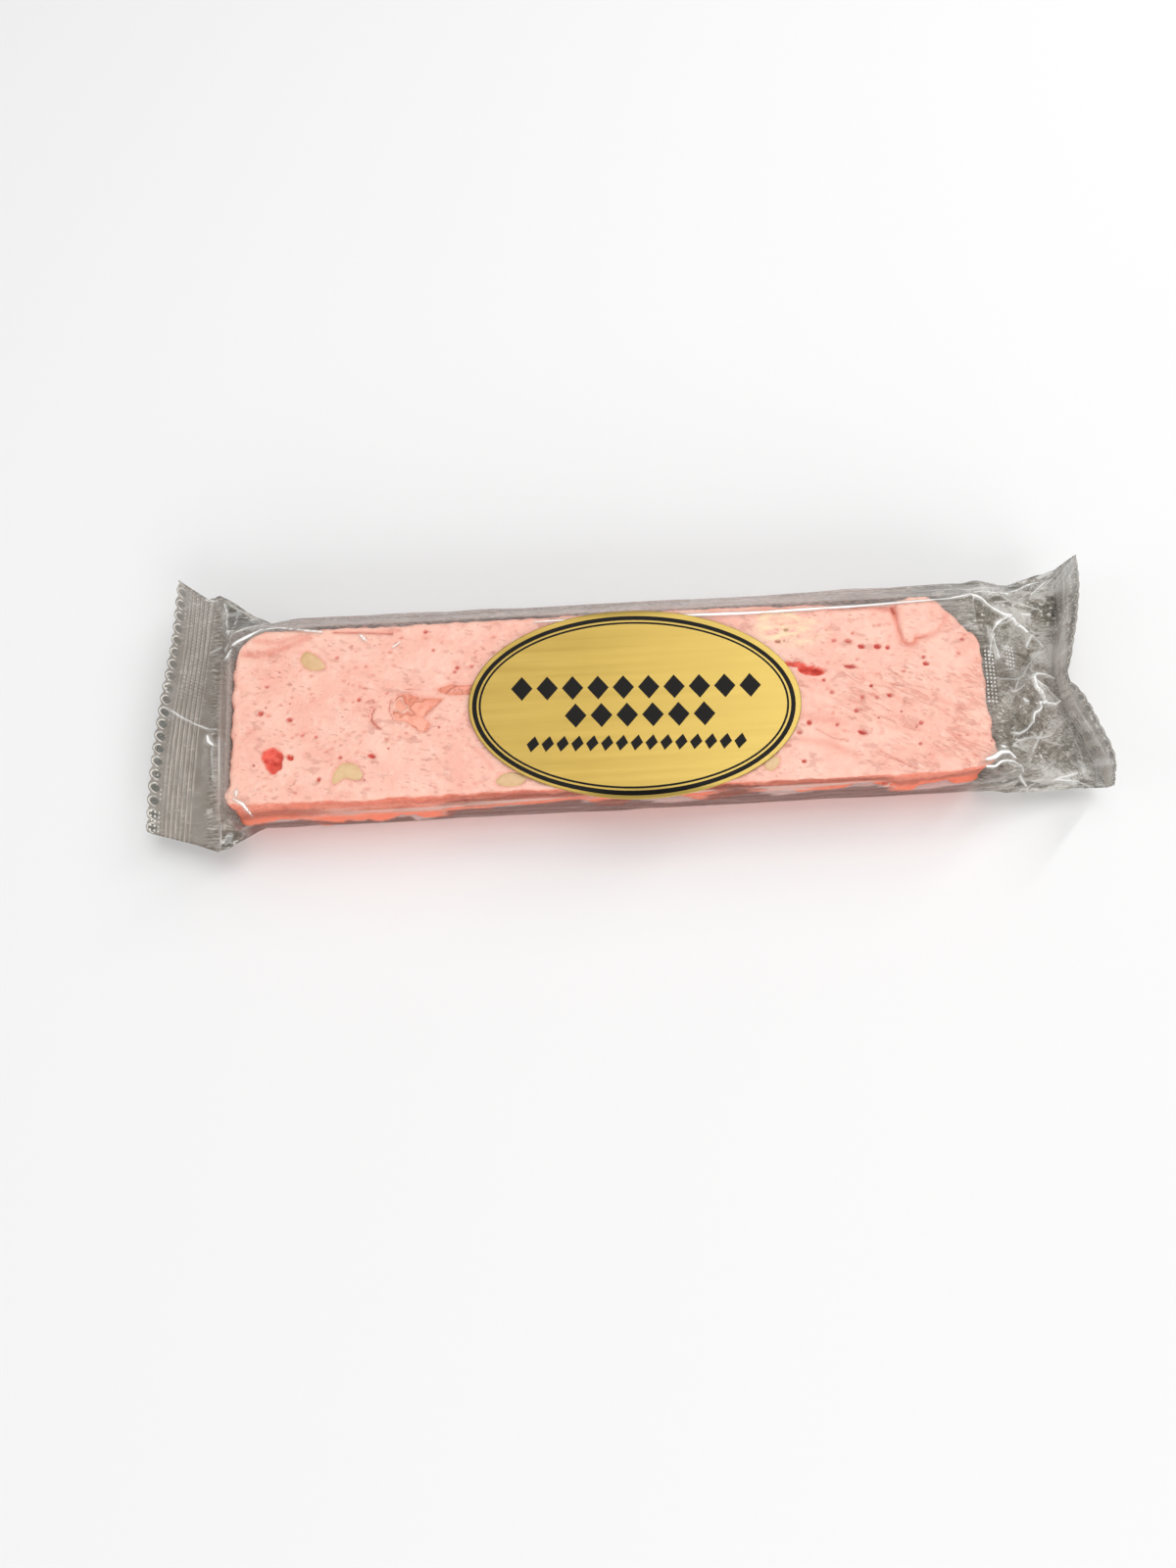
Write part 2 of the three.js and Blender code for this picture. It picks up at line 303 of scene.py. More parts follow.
# Open pores, each as x, y, length, width, turn in degrees and depth. The first ones are large red holes
# torn by the knife, with the raggedness of their edge as well, and the scattered ones are drawn at random.
torn_holes = [
    (-64.0, -7.9, 4.0, 3.4, 0, 1.2, 1.0), (-63.6, -9.6, 2.9, 2.6, 0, 1.3, 1.6),
    (-60.7, -8.0, 1.4, 0.9, -30, 0.9, 0.6), (-45.4, -8.5, 1.6, 0.7, -25, 0.9, 0.6),
    (36.2, 5.8, 4.6, 1.2, -9, 0.6, 0.06), (39.3, 4.3, 5.3, 2.0, -11, 1.7, 0.06),
]
pores = [
    (-66.5, 1.1, 0.9, 1.0, 0, 0.7), (-61.0, -0.4, 1.2, 0.7, -10, 0.7), (-55.3, -12.6, 0.7, 0.9, -20, 0.7),
    (-51.3, -8.5, 0.7, 0.6, 0, 0.5), (-52.1, 11.8, 0.8, 0.6, 0, 0.4), (-65.4, 6.5, 0.9, 0.5, 20, 0.3),
    (-58.5, -3.7, 0.6, 0.5, 0, 0.5), (-55.9, -4.2, 0.6, 0.5, 0, 0.5), (-34.9, 16.4, 0.9, 0.6, 0, 0.7),
    (-39.6, 15.3, 0.6, 0.4, 0, 0.3), (-33.4, 12.4, 0.6, 0.6, 0, 0.5), (-28.9, 8.5, 0.8, 0.6, 0, 0.7),
    (-29.4, 7.7, 0.6, 0.4, 0, 0.6), (-26.1, 8.7, 0.6, 0.5, 0, 0.6), (-47.8, 2.9, 0.7, 0.5, 0, 0.7),
    (-46.5, 9.7, 0.7, 0.4, 10, 0.3), (-42.4, 4.0, 0.7, 0.4, 30, 0.3), (47.2, 10.0, 1.5, 0.6, -8, 0.6),
    (49.6, 8.8, 1.4, 0.9, -12, 0.9), (52.7, 8.6, 1.5, 1.0, -5, 0.9), (54.7, 8.3, 0.8, 0.7, 0, 0.8),
    (44.4, 10.3, 0.9, 0.6, 0, 0.4), (48.2, 11.6, 0.5, 0.5, 0, 0.4), (46.9, 4.7, 2.4, 0.7, -6, 0.7),
    (61.4, 5.9, 0.7, 0.6, 0, 0.7), (61.6, 4.5, 1.2, 0.8, -12, 0.8), (69.4, 9.2, 0.6, 0.5, 0, 0.7),
    (50.5, 0.6, 0.6, 0.6, 0, 0.9), (53.8, -1.6, 1.0, 0.7, 0, 0.8), (47.0, -4.4, 0.9, 0.8, 0, 0.6),
    (48.5, -1.7, 0.6, 0.6, 0, 0.6), (51.3, -1.9, 0.8, 0.7, 0, 0.4), (37.8, -6.3, 0.8, 1.0, 0, 0.8),
    (42.8, -0.4, 0.8, 0.7, 0, 0.4), (41.6, 2.3, 0.6, 0.5, 0, 0.7), (59.0, -7.5, 0.8, 0.6, 0, 0.7),
    (47.6, -8.8, 1.8, 0.8, -25, 0.9), (43.0, -7.0, 0.5, 0.5, 0, 0.7), (35.7, -8.2, 0.8, 0.5, 0, 0.5),
    (36.0, -13.9, 0.7, 0.7, 0, 0.8), (58.4, -11.6, 0.6, 0.6, 0, 0.6), (35.3, 13.1, 0.9, 0.6, -10, 0.5),
    (33.5, 10.7, 1.2, 0.7, -10, 0.6), (68.2, 6.3, 0.5, 0.5, 0, 0.4), (57.1, 3.2, 0.8, 0.5, 0, 0.3),
]
scatter = np.random.default_rng(11)
scattered_count = 260
scattered = np.column_stack([
    scatter.uniform(-69, 70, scattered_count), scatter.uniform(-15.5, 16, scattered_count),
    scatter.uniform(0.3, 1.2, scattered_count), scatter.uniform(0.3, 0.55, scattered_count),
    scatter.uniform(-40, 10, scattered_count), scatter.uniform(0.08, 0.3, scattered_count),
])
torn = 0.16 * crumb(bar, 1.3, 12) + 0.12 * crumb(bar, 0.6, 20)
hole, pit = np.zeros(x.shape), np.zeros(x.shape)
for px, py, length, width, turn, depth, roughness in torn_holes:
    reach = oval_share(x, y, (px, py), (length / 2, width / 2), turn) + roughness * torn
    relief = np.minimum(relief, relief - top * depth * ramp(reach, 1.05, 0.6))
    hole = np.maximum(hole, top * ramp(reach, 1.1, 0.92))
for px, py, length, width, turn, depth in pores:
    reach = oval_share(x, y, (px, py), (length / 2 + 0.12, width / 2 + 0.12), turn)
    relief -= top * depth * 0.7 * ramp(reach, 1.15, 0.3)
    pit = np.maximum(pit, top * ramp(reach, 1.1, 0.6) * min(1, 0.25 + 0.9 * depth))
for px, py, length, width, turn, depth in scattered:
    reach = oval_share(x, y, (px, py), (length / 2 + 0.1, width / 2 + 0.1), turn)
    relief -= top * depth * ramp(reach, 1.3, 0.2)
    rose_and_shade = np.maximum(rose_and_shade, top * ramp(reach, 1.4, 0.3) * (0.15 + 1.6 * depth))

# Slits and cracks: lines in the top where the knife dragged the nougat open.
slits = [
    ([(-52.8, 17.3), (-47.1, 16.9), (-41.4, 16.4)], 0.35, 0.5, 0.55),
    ([(-45.7, 1.4), (-44.8, 1.1), (-45.4, -0.4), (-45.3, -1.4), (-44.4, -2.5),
      (-43.6, -3.2)], 0.26, 0.4, 0.9),
    ([(-45.6, 0.8), (-45.9, -0.6), (-45.0, -2.4), (-44.2, -3.1)], 0.2, 0.25, 0.6),
    ([(-46.2, 2.5), (-45.2, 2.8), (-44.9, 2.3)], 0.4, 0.25, 0.5),
    ([(-41.7, 2.6), (-42.1, 0.6), (-41.3, -1.5), (-39.9, -2.3)], 0.24, 0.3, 0.6),
    ([(-39.2, 4.7), (-36.4, 4.4)], 0.22, 0.2, 0.5),
    ([(54.4, 17.5), (56.4, 17.3), (57.0, 15.7)], 0.6, 0.5, 0.9),
    ([(45.6, 5.2), (48.4, 4.4)], 0.3, 0.3, 0.6),
    ([(39.0, -7.6), (42.0, -9.6), (44.6, -10.2)], 0.25, 0.25, 0.5),
    ([(50.6, -12.6), (54.4, -15.0), (57.0, -16.6)], 0.3, 0.3, 0.5),
    ([(62.2, -4.0), (65.6, -7.2)], 0.25, 0.2, 0.4),
]
reach_limit = 6.0


class LineField:
    """The nearest of many lines at each point: how far off it is, in half widths of that line up to a
    limit, and how strong it is. The material draws them from this, crisper than the mesh could."""

    def __init__(self, shape):
        self.reach, self.strength = np.full(shape, reach_limit), np.zeros(shape)

    def add(self, distance, half_width, strength, zone=1.0):
        reach = distance / half_width + reach_limit * (1 - zone)
        nearer = reach < self.reach
        self.strength = np.where(nearer, strength, self.strength)
        self.reach = np.minimum(reach, self.reach)


slit_lines = LineField(x.shape)
for corners, width, depth, red in slits:
    distance = line_distance(x, y, corners)
    near = np.exp(-((distance / width) ** 2)) * top
    relief -= depth * near
    rose_and_shade = np.maximum(rose_and_shade, 0.5 * red * near)
    slit_lines.add(distance, 0.55 * width, red, top)

# The lifted flake by the cut corner, with the crack that runs round it. Beside it, towards the back edge, the
# top dips a little and is painted rosier: a painted shadow of the flake.
flake_outline = [
    (57.0, 17.2), (58.7, 19.4), (63.3, 19.4), (66.4, 17.8), (67.0, 15.4), (66.0, 13.2), (64.4, 11.4),
    (62.2, 10.2), (60.4, 10.0), (60.0, 9.0), (58.8, 8.8), (57.8, 9.8), (57.3, 12.3), (57.1, 15.2),
]
flake_edge = line_distance(x, y, flake_outline, closed=True)
on_flake = inside(x, y, flake_outline)
lifted = np.where(on_flake, ramp(flake_edge, 0, 0.8), 0) * top
crack = np.exp(-((flake_edge / 0.32) ** 2)) * ramp(y, 17.6, 16.8) * ramp(x - 0.4 * y, 60.5, 57.5) * top
shade = ramp(flake_edge, 1.6, 0.2) * ~on_flake * ramp(y, 17.6, 16.8) * top
relief += 0.12 * lifted - 0.42 * crack - 0.16 * shade
rose_and_shade = np.maximum(rose_and_shade * np.where(on_flake, 0.35, 1.0), np.maximum(0.85 * crack, 0.38 * shade))

# A yellow stain of milk sugar at the back edge.
stain = oval_share(x, y, (35.6, 13.4), (7.6, 5.6), -5) + 0.35 * crumb(bar * np.array([0.5, 1, 1]), 2.0, 13)
stain = ramp(stain, 1.15, 0.25) * top

# Nut pieces and fruit jelly lie in seats just below the cut, each given as an outline of (x, y) points.
nut_outlines = {
    "nut_back_left": [(-59.4, 11.8), (-58.8, 13.2), (-57.7, 13.6), (-56.2, 12.7), (-54.8, 11.4),
                      (-54.0, 9.9), (-55.2, 9.2), (-57.1, 9.3), (-58.6, 10.2)],
    "nut_front_left": [(-53.1, -13.1), (-52.7, -11.4), (-51.4, -9.7), (-49.8, -9.3), (-47.9, -10.0),
                       (-46.9, -11.7), (-47.0, -13.0), (-47.8, -13.4), (-49.0, -13.2),
                       (-50.3, -12.7), (-51.6, -13.5), (-52.5, -13.9)],
    "nut_by_label": [(-22.5, -14.7), (-21.3, -13.4), (-19.5, -12.9), (-17.3, -13.4), (-15.9, -14.5),
                     (-17.4, -15.8), (-20.0, -16.1), (-21.8, -15.6)],
    "nut_front_right": [(28.4, -13.0), (30.2, -12.4), (31.6, -12.9), (31.2, -14.6), (29.6, -15.7),
                        (28.3, -14.8)],
}
jelly_outlines = {
    "jelly_pocket": [(-41.4, 2.0), (-41.6, -0.2), (-40.7, -1.7), (-39.0, -2.1), (-37.8, -3.0),
                     (-36.3, -4.3), (-34.6, -4.2), (-34.0, -2.8), (-35.4, -1.5), (-33.8, -0.1),
                     (-31.4, 2.4), (-35.4, 2.8), (-38.6, 3.9), (-40.5, 3.5)],
    "jelly_streak": [(-33.4, 4.3), (-31.4, 4.9), (-30.1, 5.3), (-28.3, 4.8), (-22.0, 5.0), (-22.0, 3.0),
                     (-28.3, 2.8), (-30.8, 3.0), (-32.4, 3.5)],
}
for corners in [*nut_outlines.values(), *jelly_outlines.values()]:
    edge = line_distance(x, y, corners, closed=True)
    seat = np.where(inside(x, y, corners), ramp(edge, 0, 0.5), 0) * top
    relief -= 0.45 * seat
    rim = np.exp(-((edge / 0.3) ** 2)) * top
    rose_and_shade = np.maximum(rose_and_shade, 0.3 * rim)

relief *= ramp(ring_inset, half_height, 0.6 * half_height)[:, None]
bar += normal * relief[..., None]
bar[..., 2] = np.clip(bar[..., 2], bar_bottom - 0.05, bar_top + 0.2)


def paint(red, green, blue):
    """A colour of 0 to 255 screen values, as the linear colour that Blender's sockets take."""
    share = np.array([red, green, blue]) / 255
    linear = np.where(share <= 0.04045, share / 12.92, ((share + 0.055) / 1.055) ** 2.4)
    return (*linear.tolist(), 1.0)


def math_step(operation):
    """A method that adds the math node for an operation on a wire and a second value."""
    return lambda wire, other=0.0: wire.math(operation, wire, other)


class Wire:
    """What a node puts out. Arithmetic between wires and numbers adds the math nodes that it takes to the
    wire's material, with that material's own function add."""

    def __init__(self, add, socket):
        self.add, self.socket = add, socket

    def math(self, operation, first, second, clamp=False):
        node = self.add("ShaderNodeMath", operation=operation, use_clamp=clamp, at_0=first, at_1=second)
        return Wire(self.add, node.outputs[0])

    __add__, __sub__, __mul__ = math_step("ADD"), math_step("SUBTRACT"), math_step("MULTIPLY")
    __truediv__, __pow__, __abs__ = math_step("DIVIDE"), math_step("POWER"), math_step("ABSOLUTE")
    fraction, root = math_step("FRACT"), math_step("SQRT")
    largest, below = math_step("MAXIMUM"), math_step("LESS_THAN")

    def __rsub__(self, other):
        return self.math("SUBTRACT", other, self)

    def between(self, low, high):
        """0 below one value and 1 above another, in a straight line between them."""
        node = self.add("ShaderNodeMapRange", at_Value=self, at_From_Min=low, at_From_Max=high)
        return Wire(self.add, node.outputs[0])

    def blend(self, first, second):
        """A mix of two colours, in which the wire is the second one's share."""
        node = self.add("ShaderNodeMix", data_type="RGBA", at_0=self, at_6=first, at_7=second)
        return Wire(self.add, node.outputs[2])


def new_material(name):
    """A material with a Principled BSDF. Returns it with its shader, a function that adds nodes and one that
    joins a value to a socket."""
    material = bpy.data.materials.new(name)
    material.use_nodes = True
    tree = material.node_tree
    shader = tree.nodes["Principled BSDF"]

    def add(kind, **settings):
        """Adds a node. Settings name its properties, and those that begin with at_ its input sockets."""
        node = tree.nodes.new(kind)
        for key, value in settings.items():
            if not key.startswith("at_"):
                setattr(node, key, value)
        for key, value in settings.items():
            if key.startswith("at_"):
                place = key[3:]
                join(node.inputs[int(place) if place.isdigit() else place.replace("_", " ")], value)
        return node

    def join(socket, value):
        """Links a wire or another node's socket to a socket, or sets it to anything else."""
        if isinstance(value, Wire):
            value = value.socket
        if isinstance(value, bpy.types.NodeSocket):
            tree.links.new(value, socket)
        else:
            socket.default_value = value

    return material, shader, add, join


def object_place(add):
    """The position in the object's own axes, in metres."""
    return Wire(add, add("ShaderNodeTexCoord").outputs["Object"])


def mask_of(add, name):
    """The value of a piece's own attribute."""
    return Wire(add, add("ShaderNodeAttribute", attribute_name=name).outputs["Fac"])


def mottling_group():
    """The cloudy pattern that all the materials share: noise over a position, stretched so that it is 0 below
    one value and 1 above another."""
    group = bpy.data.node_groups.new("mottling", "ShaderNodeTree")
    for name in ["Place", "Cells per metre", "Detail", "Low", "High"]:
        kind = "NodeSocketVector" if name == "Place" else "NodeSocketFloat"
        group.interface.new_socket(name, in_out="INPUT", socket_type=kind)
    group.interface.new_socket("Mask", in_out="OUTPUT", socket_type="NodeSocketFloat")
    given, result = group.nodes.new("NodeGroupInput"), group.nodes.new("NodeGroupOutput")
    noise, limits = group.nodes.new("ShaderNodeTexNoise"), group.nodes.new("ShaderNodeMapRange")
    for name, node, socket in [
        ("Place", noise, "Vector"), ("Cells per metre", noise, "Scale"), ("Detail", noise, "Detail"),
        ("Low", limits, "From Min"), ("High", limits, "From Max"),
    ]:
        group.links.new(given.outputs[name], node.inputs[socket])
    group.links.new(noise.outputs["Fac"], limits.inputs["Value"])
    group.links.new(limits.outputs[0], result.inputs["Mask"])
    return group


mottling = mottling_group()


def mottle(place, cells, detail=3.0, low=0.0, high=1.0):
    """The shared mottling with a material's own values, as a mask from 0 to 1."""
    node = place.add(
        "ShaderNodeGroup", node_tree=mottling, at_Place=place, at_Cells_per_metre=cells, at_Detail=detail,
        at_Low=low, at_High=high,
    )
    return Wire(place.add, node.outputs["Mask"])


def stretched(place, turn, length, width=1.0):
    """A position for a pattern that is drawn out by two factors, along a direction turned about z by some
    degrees and across it."""
    node = place.add("ShaderNodeMapping", vector_type="TEXTURE", at_Vector=place,
                     at_Rotation=(0, 0, math.radians(turn)), at_Scale=(length, width, 1.0))
    return Wire(place.add, node.outputs[0])


def drawn_lines(add, core, limit=1.3):
    """The lines of a piece's own line field: 1 out to one share of their half width and 0 past another."""
    reach = mask_of(add, "line_reach") * reach_limit
    return reach.between(limit, core) * mask_of(add, "line_strength")


def pinholes(place, scale, radius):
    """Small round holes, one in some of the cells that space is divided into: 1 in each hole."""
    cells = place.add("ShaderNodeTexVoronoi", at_Vector=place, at_Scale=scale)
    split = place.add("ShaderNodeSeparateColor", at_Color=cells.outputs["Color"])
    reach = Wire(place.add, split.outputs[0]).between(0.55, 0.9) * radius
    return (reach - cells.outputs["Distance"]).between(0.0, radius / 3)


def nougat_finish():
    """Pale pink, mottled at three sizes, with rosier smears and rosier painted shade, faint grey-brown marks,
    pinholes, salmon sides that turn orange at the foot, and red hollows. Fine wrinkles are thin lines where
    drawn-out noise crosses its middle value."""
    material, shader, add, join = new_material("nougat")
    place = object_place(add)
    side, stain, hole, pit = [mask_of(add, name) for name in ("side", "stain", "hole", "pit")]
    colour = mottle(place, 150.0, 4.0, 0.3, 0.7).blend(paint(255, 205, 186), paint(249, 183, 165))
    colour = (mottle(place, 620.0, 2.0, 0.52, 0.75) * 0.45).blend(colour, paint(255, 216, 199))
    smudges = mottle(stretched(place, -12, 1.4, 0.9), 560.0, 2.0, 0.57, 0.66)
    smudges = smudges * mottle(place, 130.0, 1.0, 0.38, 0.55)
    flecks = mottle(stretched(place, -16, 2.0, 0.75), 1500.0, 1.0, 0.62, 0.7)
    flecks = flecks * mottle(place, 240.0, 1.0, 0.4, 0.58)
    holes = pinholes(place, 430.0, 0.14)
    wavy = mottle(stretched(place, -31, 5.5), 620.0, 2.0)
    lines = abs(wavy - 0.5).between(0.04, 0.01) * mottle(place, 240.0, 1.0, 0.45, 0.6)
    lines = lines * mask_of(add, "wrinkled")
    for mask, strength, shade in [
        (smudges, 0.65, paint(220, 160, 144)), (flecks, 0.55, paint(206, 134, 118)),
        (lines, 0.45, paint(214, 136, 118)), (mask_of(add, "rose_and_shade"), 1.0, paint(224, 126, 106)),
        (holes, 0.7, paint(186, 76, 70)), (drawn_lines(add, 0.6), 0.85, paint(192, 92, 78)),
    ]:
        colour = (mask * strength).blend(colour, shade)
    crystals = stain * mottle(stretched(place, 0, 2.5, 0.85), 700.0, 3.0, 0.38, 0.62)
    colour = crystals.blend(colour, paint(252, 226, 186))

    layers = mottle(stretched(place, 0, 8.0), 700.0, 3.0, 0.3, 0.7)
    salmon = layers.blend(paint(255, 160, 132), paint(250, 128, 100))
    salmon = (mottle(place, 1300.0, 2.0, 0.5, 0.64) * 0.6).blend(salmon, paint(222, 100, 78))
    height = Wire(add, add("ShaderNodeSeparateXYZ", at_Vector=place).outputs[2])
    salmon = height.between(9.5 * mm, 5.5 * mm).blend(salmon, paint(252, 126, 92))
    colour = side.blend(colour, salmon)
    torn_red = mottle(place, 900.0, 3.0, 0.4, 0.62).blend(paint(244, 110, 92), paint(220, 84, 70))
    colour = hole.blend(colour, torn_red)
    colour = pit.blend(colour, stain.blend(paint(208, 76, 68), paint(156, 104, 60)))
    join(shader.inputs["Base Color"], colour)
    shader.inputs["Roughness"].default_value = 0.5
    shader.inputs["Specular IOR Level"].default_value = 0.3
    shader.inputs["Subsurface Weight"].default_value = 0.12
    shader.inputs["Subsurface Radius"].default_value = (1.0, 0.45, 0.35)
    shader.inputs["Subsurface Scale"].default_value = 0.001
    grain = mottle(place, 1500.0) + mottle(place, 480.0, 4.0)
    for mark, depth in [(holes, 0.8), (flecks, 0.35), (smudges, 0.35), (lines, 0.7)]:
        grain = grain - mark * depth
    bump = add("ShaderNodeBump", at_Strength=0.5, at_Distance=0.00032, at_Height=grain)
    join(shader.inputs["Normal"], bump.outputs[0])
    return material


nougat_bar = ring_piece("nougat_bar", bar, {
    "rose_and_shade": rose_and_shade, "side": 0.9 * side, "stain": stain, "hole": hole, "pit": pit, "wrinkled": wrinkled,
    "line_reach": slit_lines.reach / reach_limit, "line_strength": slit_lines.strength,
})
nougat_bar.data.materials.append(nougat_finish())
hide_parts("film_pack")

# A drip of nougat that hangs in front of the foot, where it was pulled off the blade.
drip_x, drip_y = 54.1, -15.9
drip_height = np.linspace(0, 1, 24)
drip_angle = np.linspace(0, 2 * np.pi, 25)[:-1]
drip_radius = np.interp(drip_height, [0, 0.08, 0.25, 0.45, 0.8, 1], [0.5, 0.62, 0.5, 0.32, 0.36, 0.9])
drip_z = np.interp(drip_height, [0, 1], [2.6, 9.5])
drip = np.dstack([
    drip_x + np.outer(drip_radius, np.cos(drip_angle)),
    (drip_y - 0.6 * np.sin(np.pi * drip_height))[:, None] + np.outer(drip_radius, np.sin(drip_angle)),
    np.repeat(drip_z[:, None], len(drip_angle), axis=1),
])
drip += 0.08 * crumb(drip, 0.8, 26)[..., None]
nougat_drip = ring_piece("nougat_drip", drip)
nougat_drip.data.materials.append(nougat_bar.data.materials[0])
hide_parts("film_pack")

# Pieces of roasted peanut that the knife went through. Each is cut off level with the nougat round it, so
# only its flat cut face shows.


def pebble(corners, low, high, waviness, seed):
    """A flat pebble over an outline: rings of points that shrink from the outline to its middle, on a top
    that is slightly domed and uneven, and on a bottom."""
    corners = np.array(corners, float)
    middle = corners.mean(axis=0)
    share = np.linspace(0, len(corners), 61)[:-1]
    closed = np.vstack([corners[-1:], corners, corners[:2]])
    index = share.astype(int)
    t = (share - index)[:, None]
    p0, p1, p2, p3 = (closed[index + k] for k in range(4))
    outline = 0.5 * (2 * p1 + (p2 - p0) * t + (2 * p0 - 5 * p1 + 4 * p2 - p3) * t**2
                     + (3 * p1 - p0 - 3 * p2 + p3) * t**3)
    rings = np.linspace(0.04, 1, 16)
    edge = (high - low) * 0.15 * rings**6
    plan = middle + (outline - middle) * rings[:, None, None]
    top_z = np.broadcast_to((high - edge)[:, None], plan.shape[:2])
    top_side = np.dstack([plan, top_z])
    top_side[..., 2] += waviness * crumb(top_side, 1.1, seed) * (1 - rings**4)[:, None]
    bottom_side = np.dstack([plan, np.full(plan.shape[:2], low)])[::-1]
    return np.concatenate([top_side, bottom_side])


def peanut_finish():
    """Pale cut nut with a yellow-brown tinge, cloudy patches and fine darker grains."""
    material, shader, add, join = new_material("peanut")
    place = object_place(add)
    colour = mottle(place, 420.0, 3.0, 0.35, 0.65).blend(paint(230, 200, 148), paint(206, 174, 118))
    join(shader.inputs["Base Color"], mottle(place, 160.0).blend(colour, paint(226, 178, 136)))
    shader.inputs["Roughness"].default_value = 0.42
    bump = add("ShaderNodeBump", at_Strength=0.3, at_Distance=0.0002, at_Height=mottle(place, 1300.0))
    join(shader.inputs["Normal"], bump.outputs[0])
    return material


peanut = peanut_finish()
for seed, (name, corners) in enumerate(nut_outlines.items()):
    shape = pebble(corners, bar_top - 2.2, bar_top + 0.03, 0.06, 20 + seed)
    nut = ring_piece(name, shape)
    nut.data.materials.append(peanut)
    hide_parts("film_pack")

# Fruit jelly that was folded into the nougat: a pocket with swirled salmon bands, and a streak that runs on
# under the label. The cut face is smooth and a little glossy.


def jelly_finish():
    """Salmon jelly with deeper and paler lines that curl through it, where noise crosses one value and
    another, and a part without lines that is one deeper colour."""
    material, shader, add, join = new_material("jelly")
    place = object_place(add)
    swirl = mottle(place, 320.0, 1.5)
    deep = abs(swirl - 0.5).between(0.05, 0.015)
    pale = abs(swirl - 0.585).between(0.035, 0.01)
    colour = mottle(place, 260.0, 2.0, 0.35, 0.65).blend(paint(249, 172, 146), paint(240, 150, 122))
    colour = (deep * 0.6).blend(colour, paint(224, 122, 96))
    colour = (pale * 0.7).blend(colour, paint(255, 206, 186))
    join(shader.inputs["Base Color"], (mask_of(add, "plain") * 0.85).blend(colour, paint(238, 146, 120)))
    shader.inputs["Roughness"].default_value = 0.3
    bump = add("ShaderNodeBump", at_Strength=0.6, at_Distance=0.0004, at_Height=pale - deep)
    join(shader.inputs["Normal"], bump.outputs[0])
    return material


jelly_plain_corners = [(-36.6, 3.4), (-30.6, 3.2), (-33.9, -1.4)]
jelly = jelly_finish()
for seed, (name, corners) in enumerate(jelly_outlines.items()):
    shape = pebble(corners, bar_top - 2.0, bar_top + 0.02, 0.12, 30 + seed)
    plain = inside(shape[..., 0], shape[..., 1], jelly_plain_corners) | (shape[..., 0] > -33.0)
    pocket = ring_piece(name, shape, {"plain": plain.astype(float)})
    pocket.data.materials.append(jelly)
    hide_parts("film_pack")

# The wrapper: one tube of clear polypropylene film round the bar, flattened and crimped between toothed jaws
# at both ends. It lies tight on the bar's top and is slack behind it. The left seal lies flat and the right
# one stands up, with the film in front of it crumpled.
film_low, film_high = 0.3, 15.8
film_width = 56.0
fold_height = 7.5
front_fold, back_fold = -19.35, 24.15
upper_columns, lower_columns = 206, 112


def along(points, share):
    """Points on a smooth curve through the given ones, at shares of its length from 0 to 1: a cubic between
    each two, with the slopes that their neighbours give."""
    points = np.array(points, float)
    length = np.r_[0, np.cumsum(np.linalg.norm(np.diff(points, axis=0), axis=1))]
    length /= length[-1]
    slope = np.gradient(points, length, axis=0)
    i = np.clip(np.searchsorted(length, share, side="right") - 1, 0, len(length) - 2)
    gap = (length[i + 1] - length[i])[:, None]
    t = (share - length[i])[:, None] / gap
    return (
        points[i] * (1 + 2 * t) * (1 - t) ** 2 + slope[i] * gap * t * (1 - t) ** 2
        + points[i + 1] * t**2 * (3 - 2 * t) + slope[i + 1] * gap * t**2 * (t - 1)
    )


def even(points, share):
    """Points at shares of a bent line's length, on its straight pieces."""
    points = np.array(points, float)
    length = np.r_[0, np.cumsum(np.linalg.norm(np.diff(points, axis=0), axis=1))]
    return np.column_stack([np.interp(share * length[-1], length, axis) for axis in points.T])


def bend(start, corner, end, steps=8):
    """A rounded corner of a bent line, as a quadratic curve."""
    t = np.linspace(0, 1, steps)[:, None]
    start, corner, end = np.array(start), np.array(corner), np.array(end)
    return start * (1 - t) ** 2 + 2 * corner * t * (1 - t) + end * t**2


over_bar = np.vstack([
    [(front_fold, fold_height)],
    bend((-18.35, 14.4), (-18.15, film_high), (-16.9, film_high)),
    bend((17.0, film_high), (18.3, film_high), (19.2, 14.6)),
    [(back_fold, fold_height)],
])
under_bar = np.vstack([
    [(front_fold, fold_height)],
    bend((-17.9, 1.4), (-17.6, film_low), (-16.9, film_low)),
    bend((19.9, film_low), (20.7, film_low), (21.1, 1.3)),
    [(back_fold, fold_height)],
])

# The seals' cut edges, the necks where the seals begin, and the folds between seal and slack film, each as
# (x, y, z) points from front to back.
left_cut = [(-90.6, -18.8, 6.4), (-89.8, -9, 8.4), (-88.7, 7.7, 8), (-87.3, 21, 7.4), (-86.3, 34.1, 8.2)]
left_neck = [(-80.4, -22, 6.8), (-79.9, -10, 8.3), (-79.8, 8, 8.2), (-79.8, 20, 7.8), (-80.0, 29.6, 7.4)]
left_fold = [(-76.2, -23.7, 7), (-75.9, -13, 8), (-76.3, 3, 8.2), (-76.6, 17, 8), (-77.7, 30.3, 7.6)]
right_fold = [
    (97.4, -19.4, 4.5), (94.0, -9.5, 5), (91.2, -1.5, 5.6), (91.2, 8, 5), (93.4, 18.5, 5.3),
    (94.4, 28.4, 5.5),
]
right_cut = [
    (94.8, -21.2, 12.8), (95.4, -16.5, 14), (93.8, -9, 14), (91.2, -2, 14), (89.4, 0.6, 14),
    (90.8, 5.5, 14), (93.6, 14.5, 14), (95.1, 21.6, 14), (95.3, 27.4, 14.2),
]


def body_line(x, yz):
    """The film's section over or under the bar, set at one x."""
    return np.column_stack([np.full(len(yz), float(x)), yz])


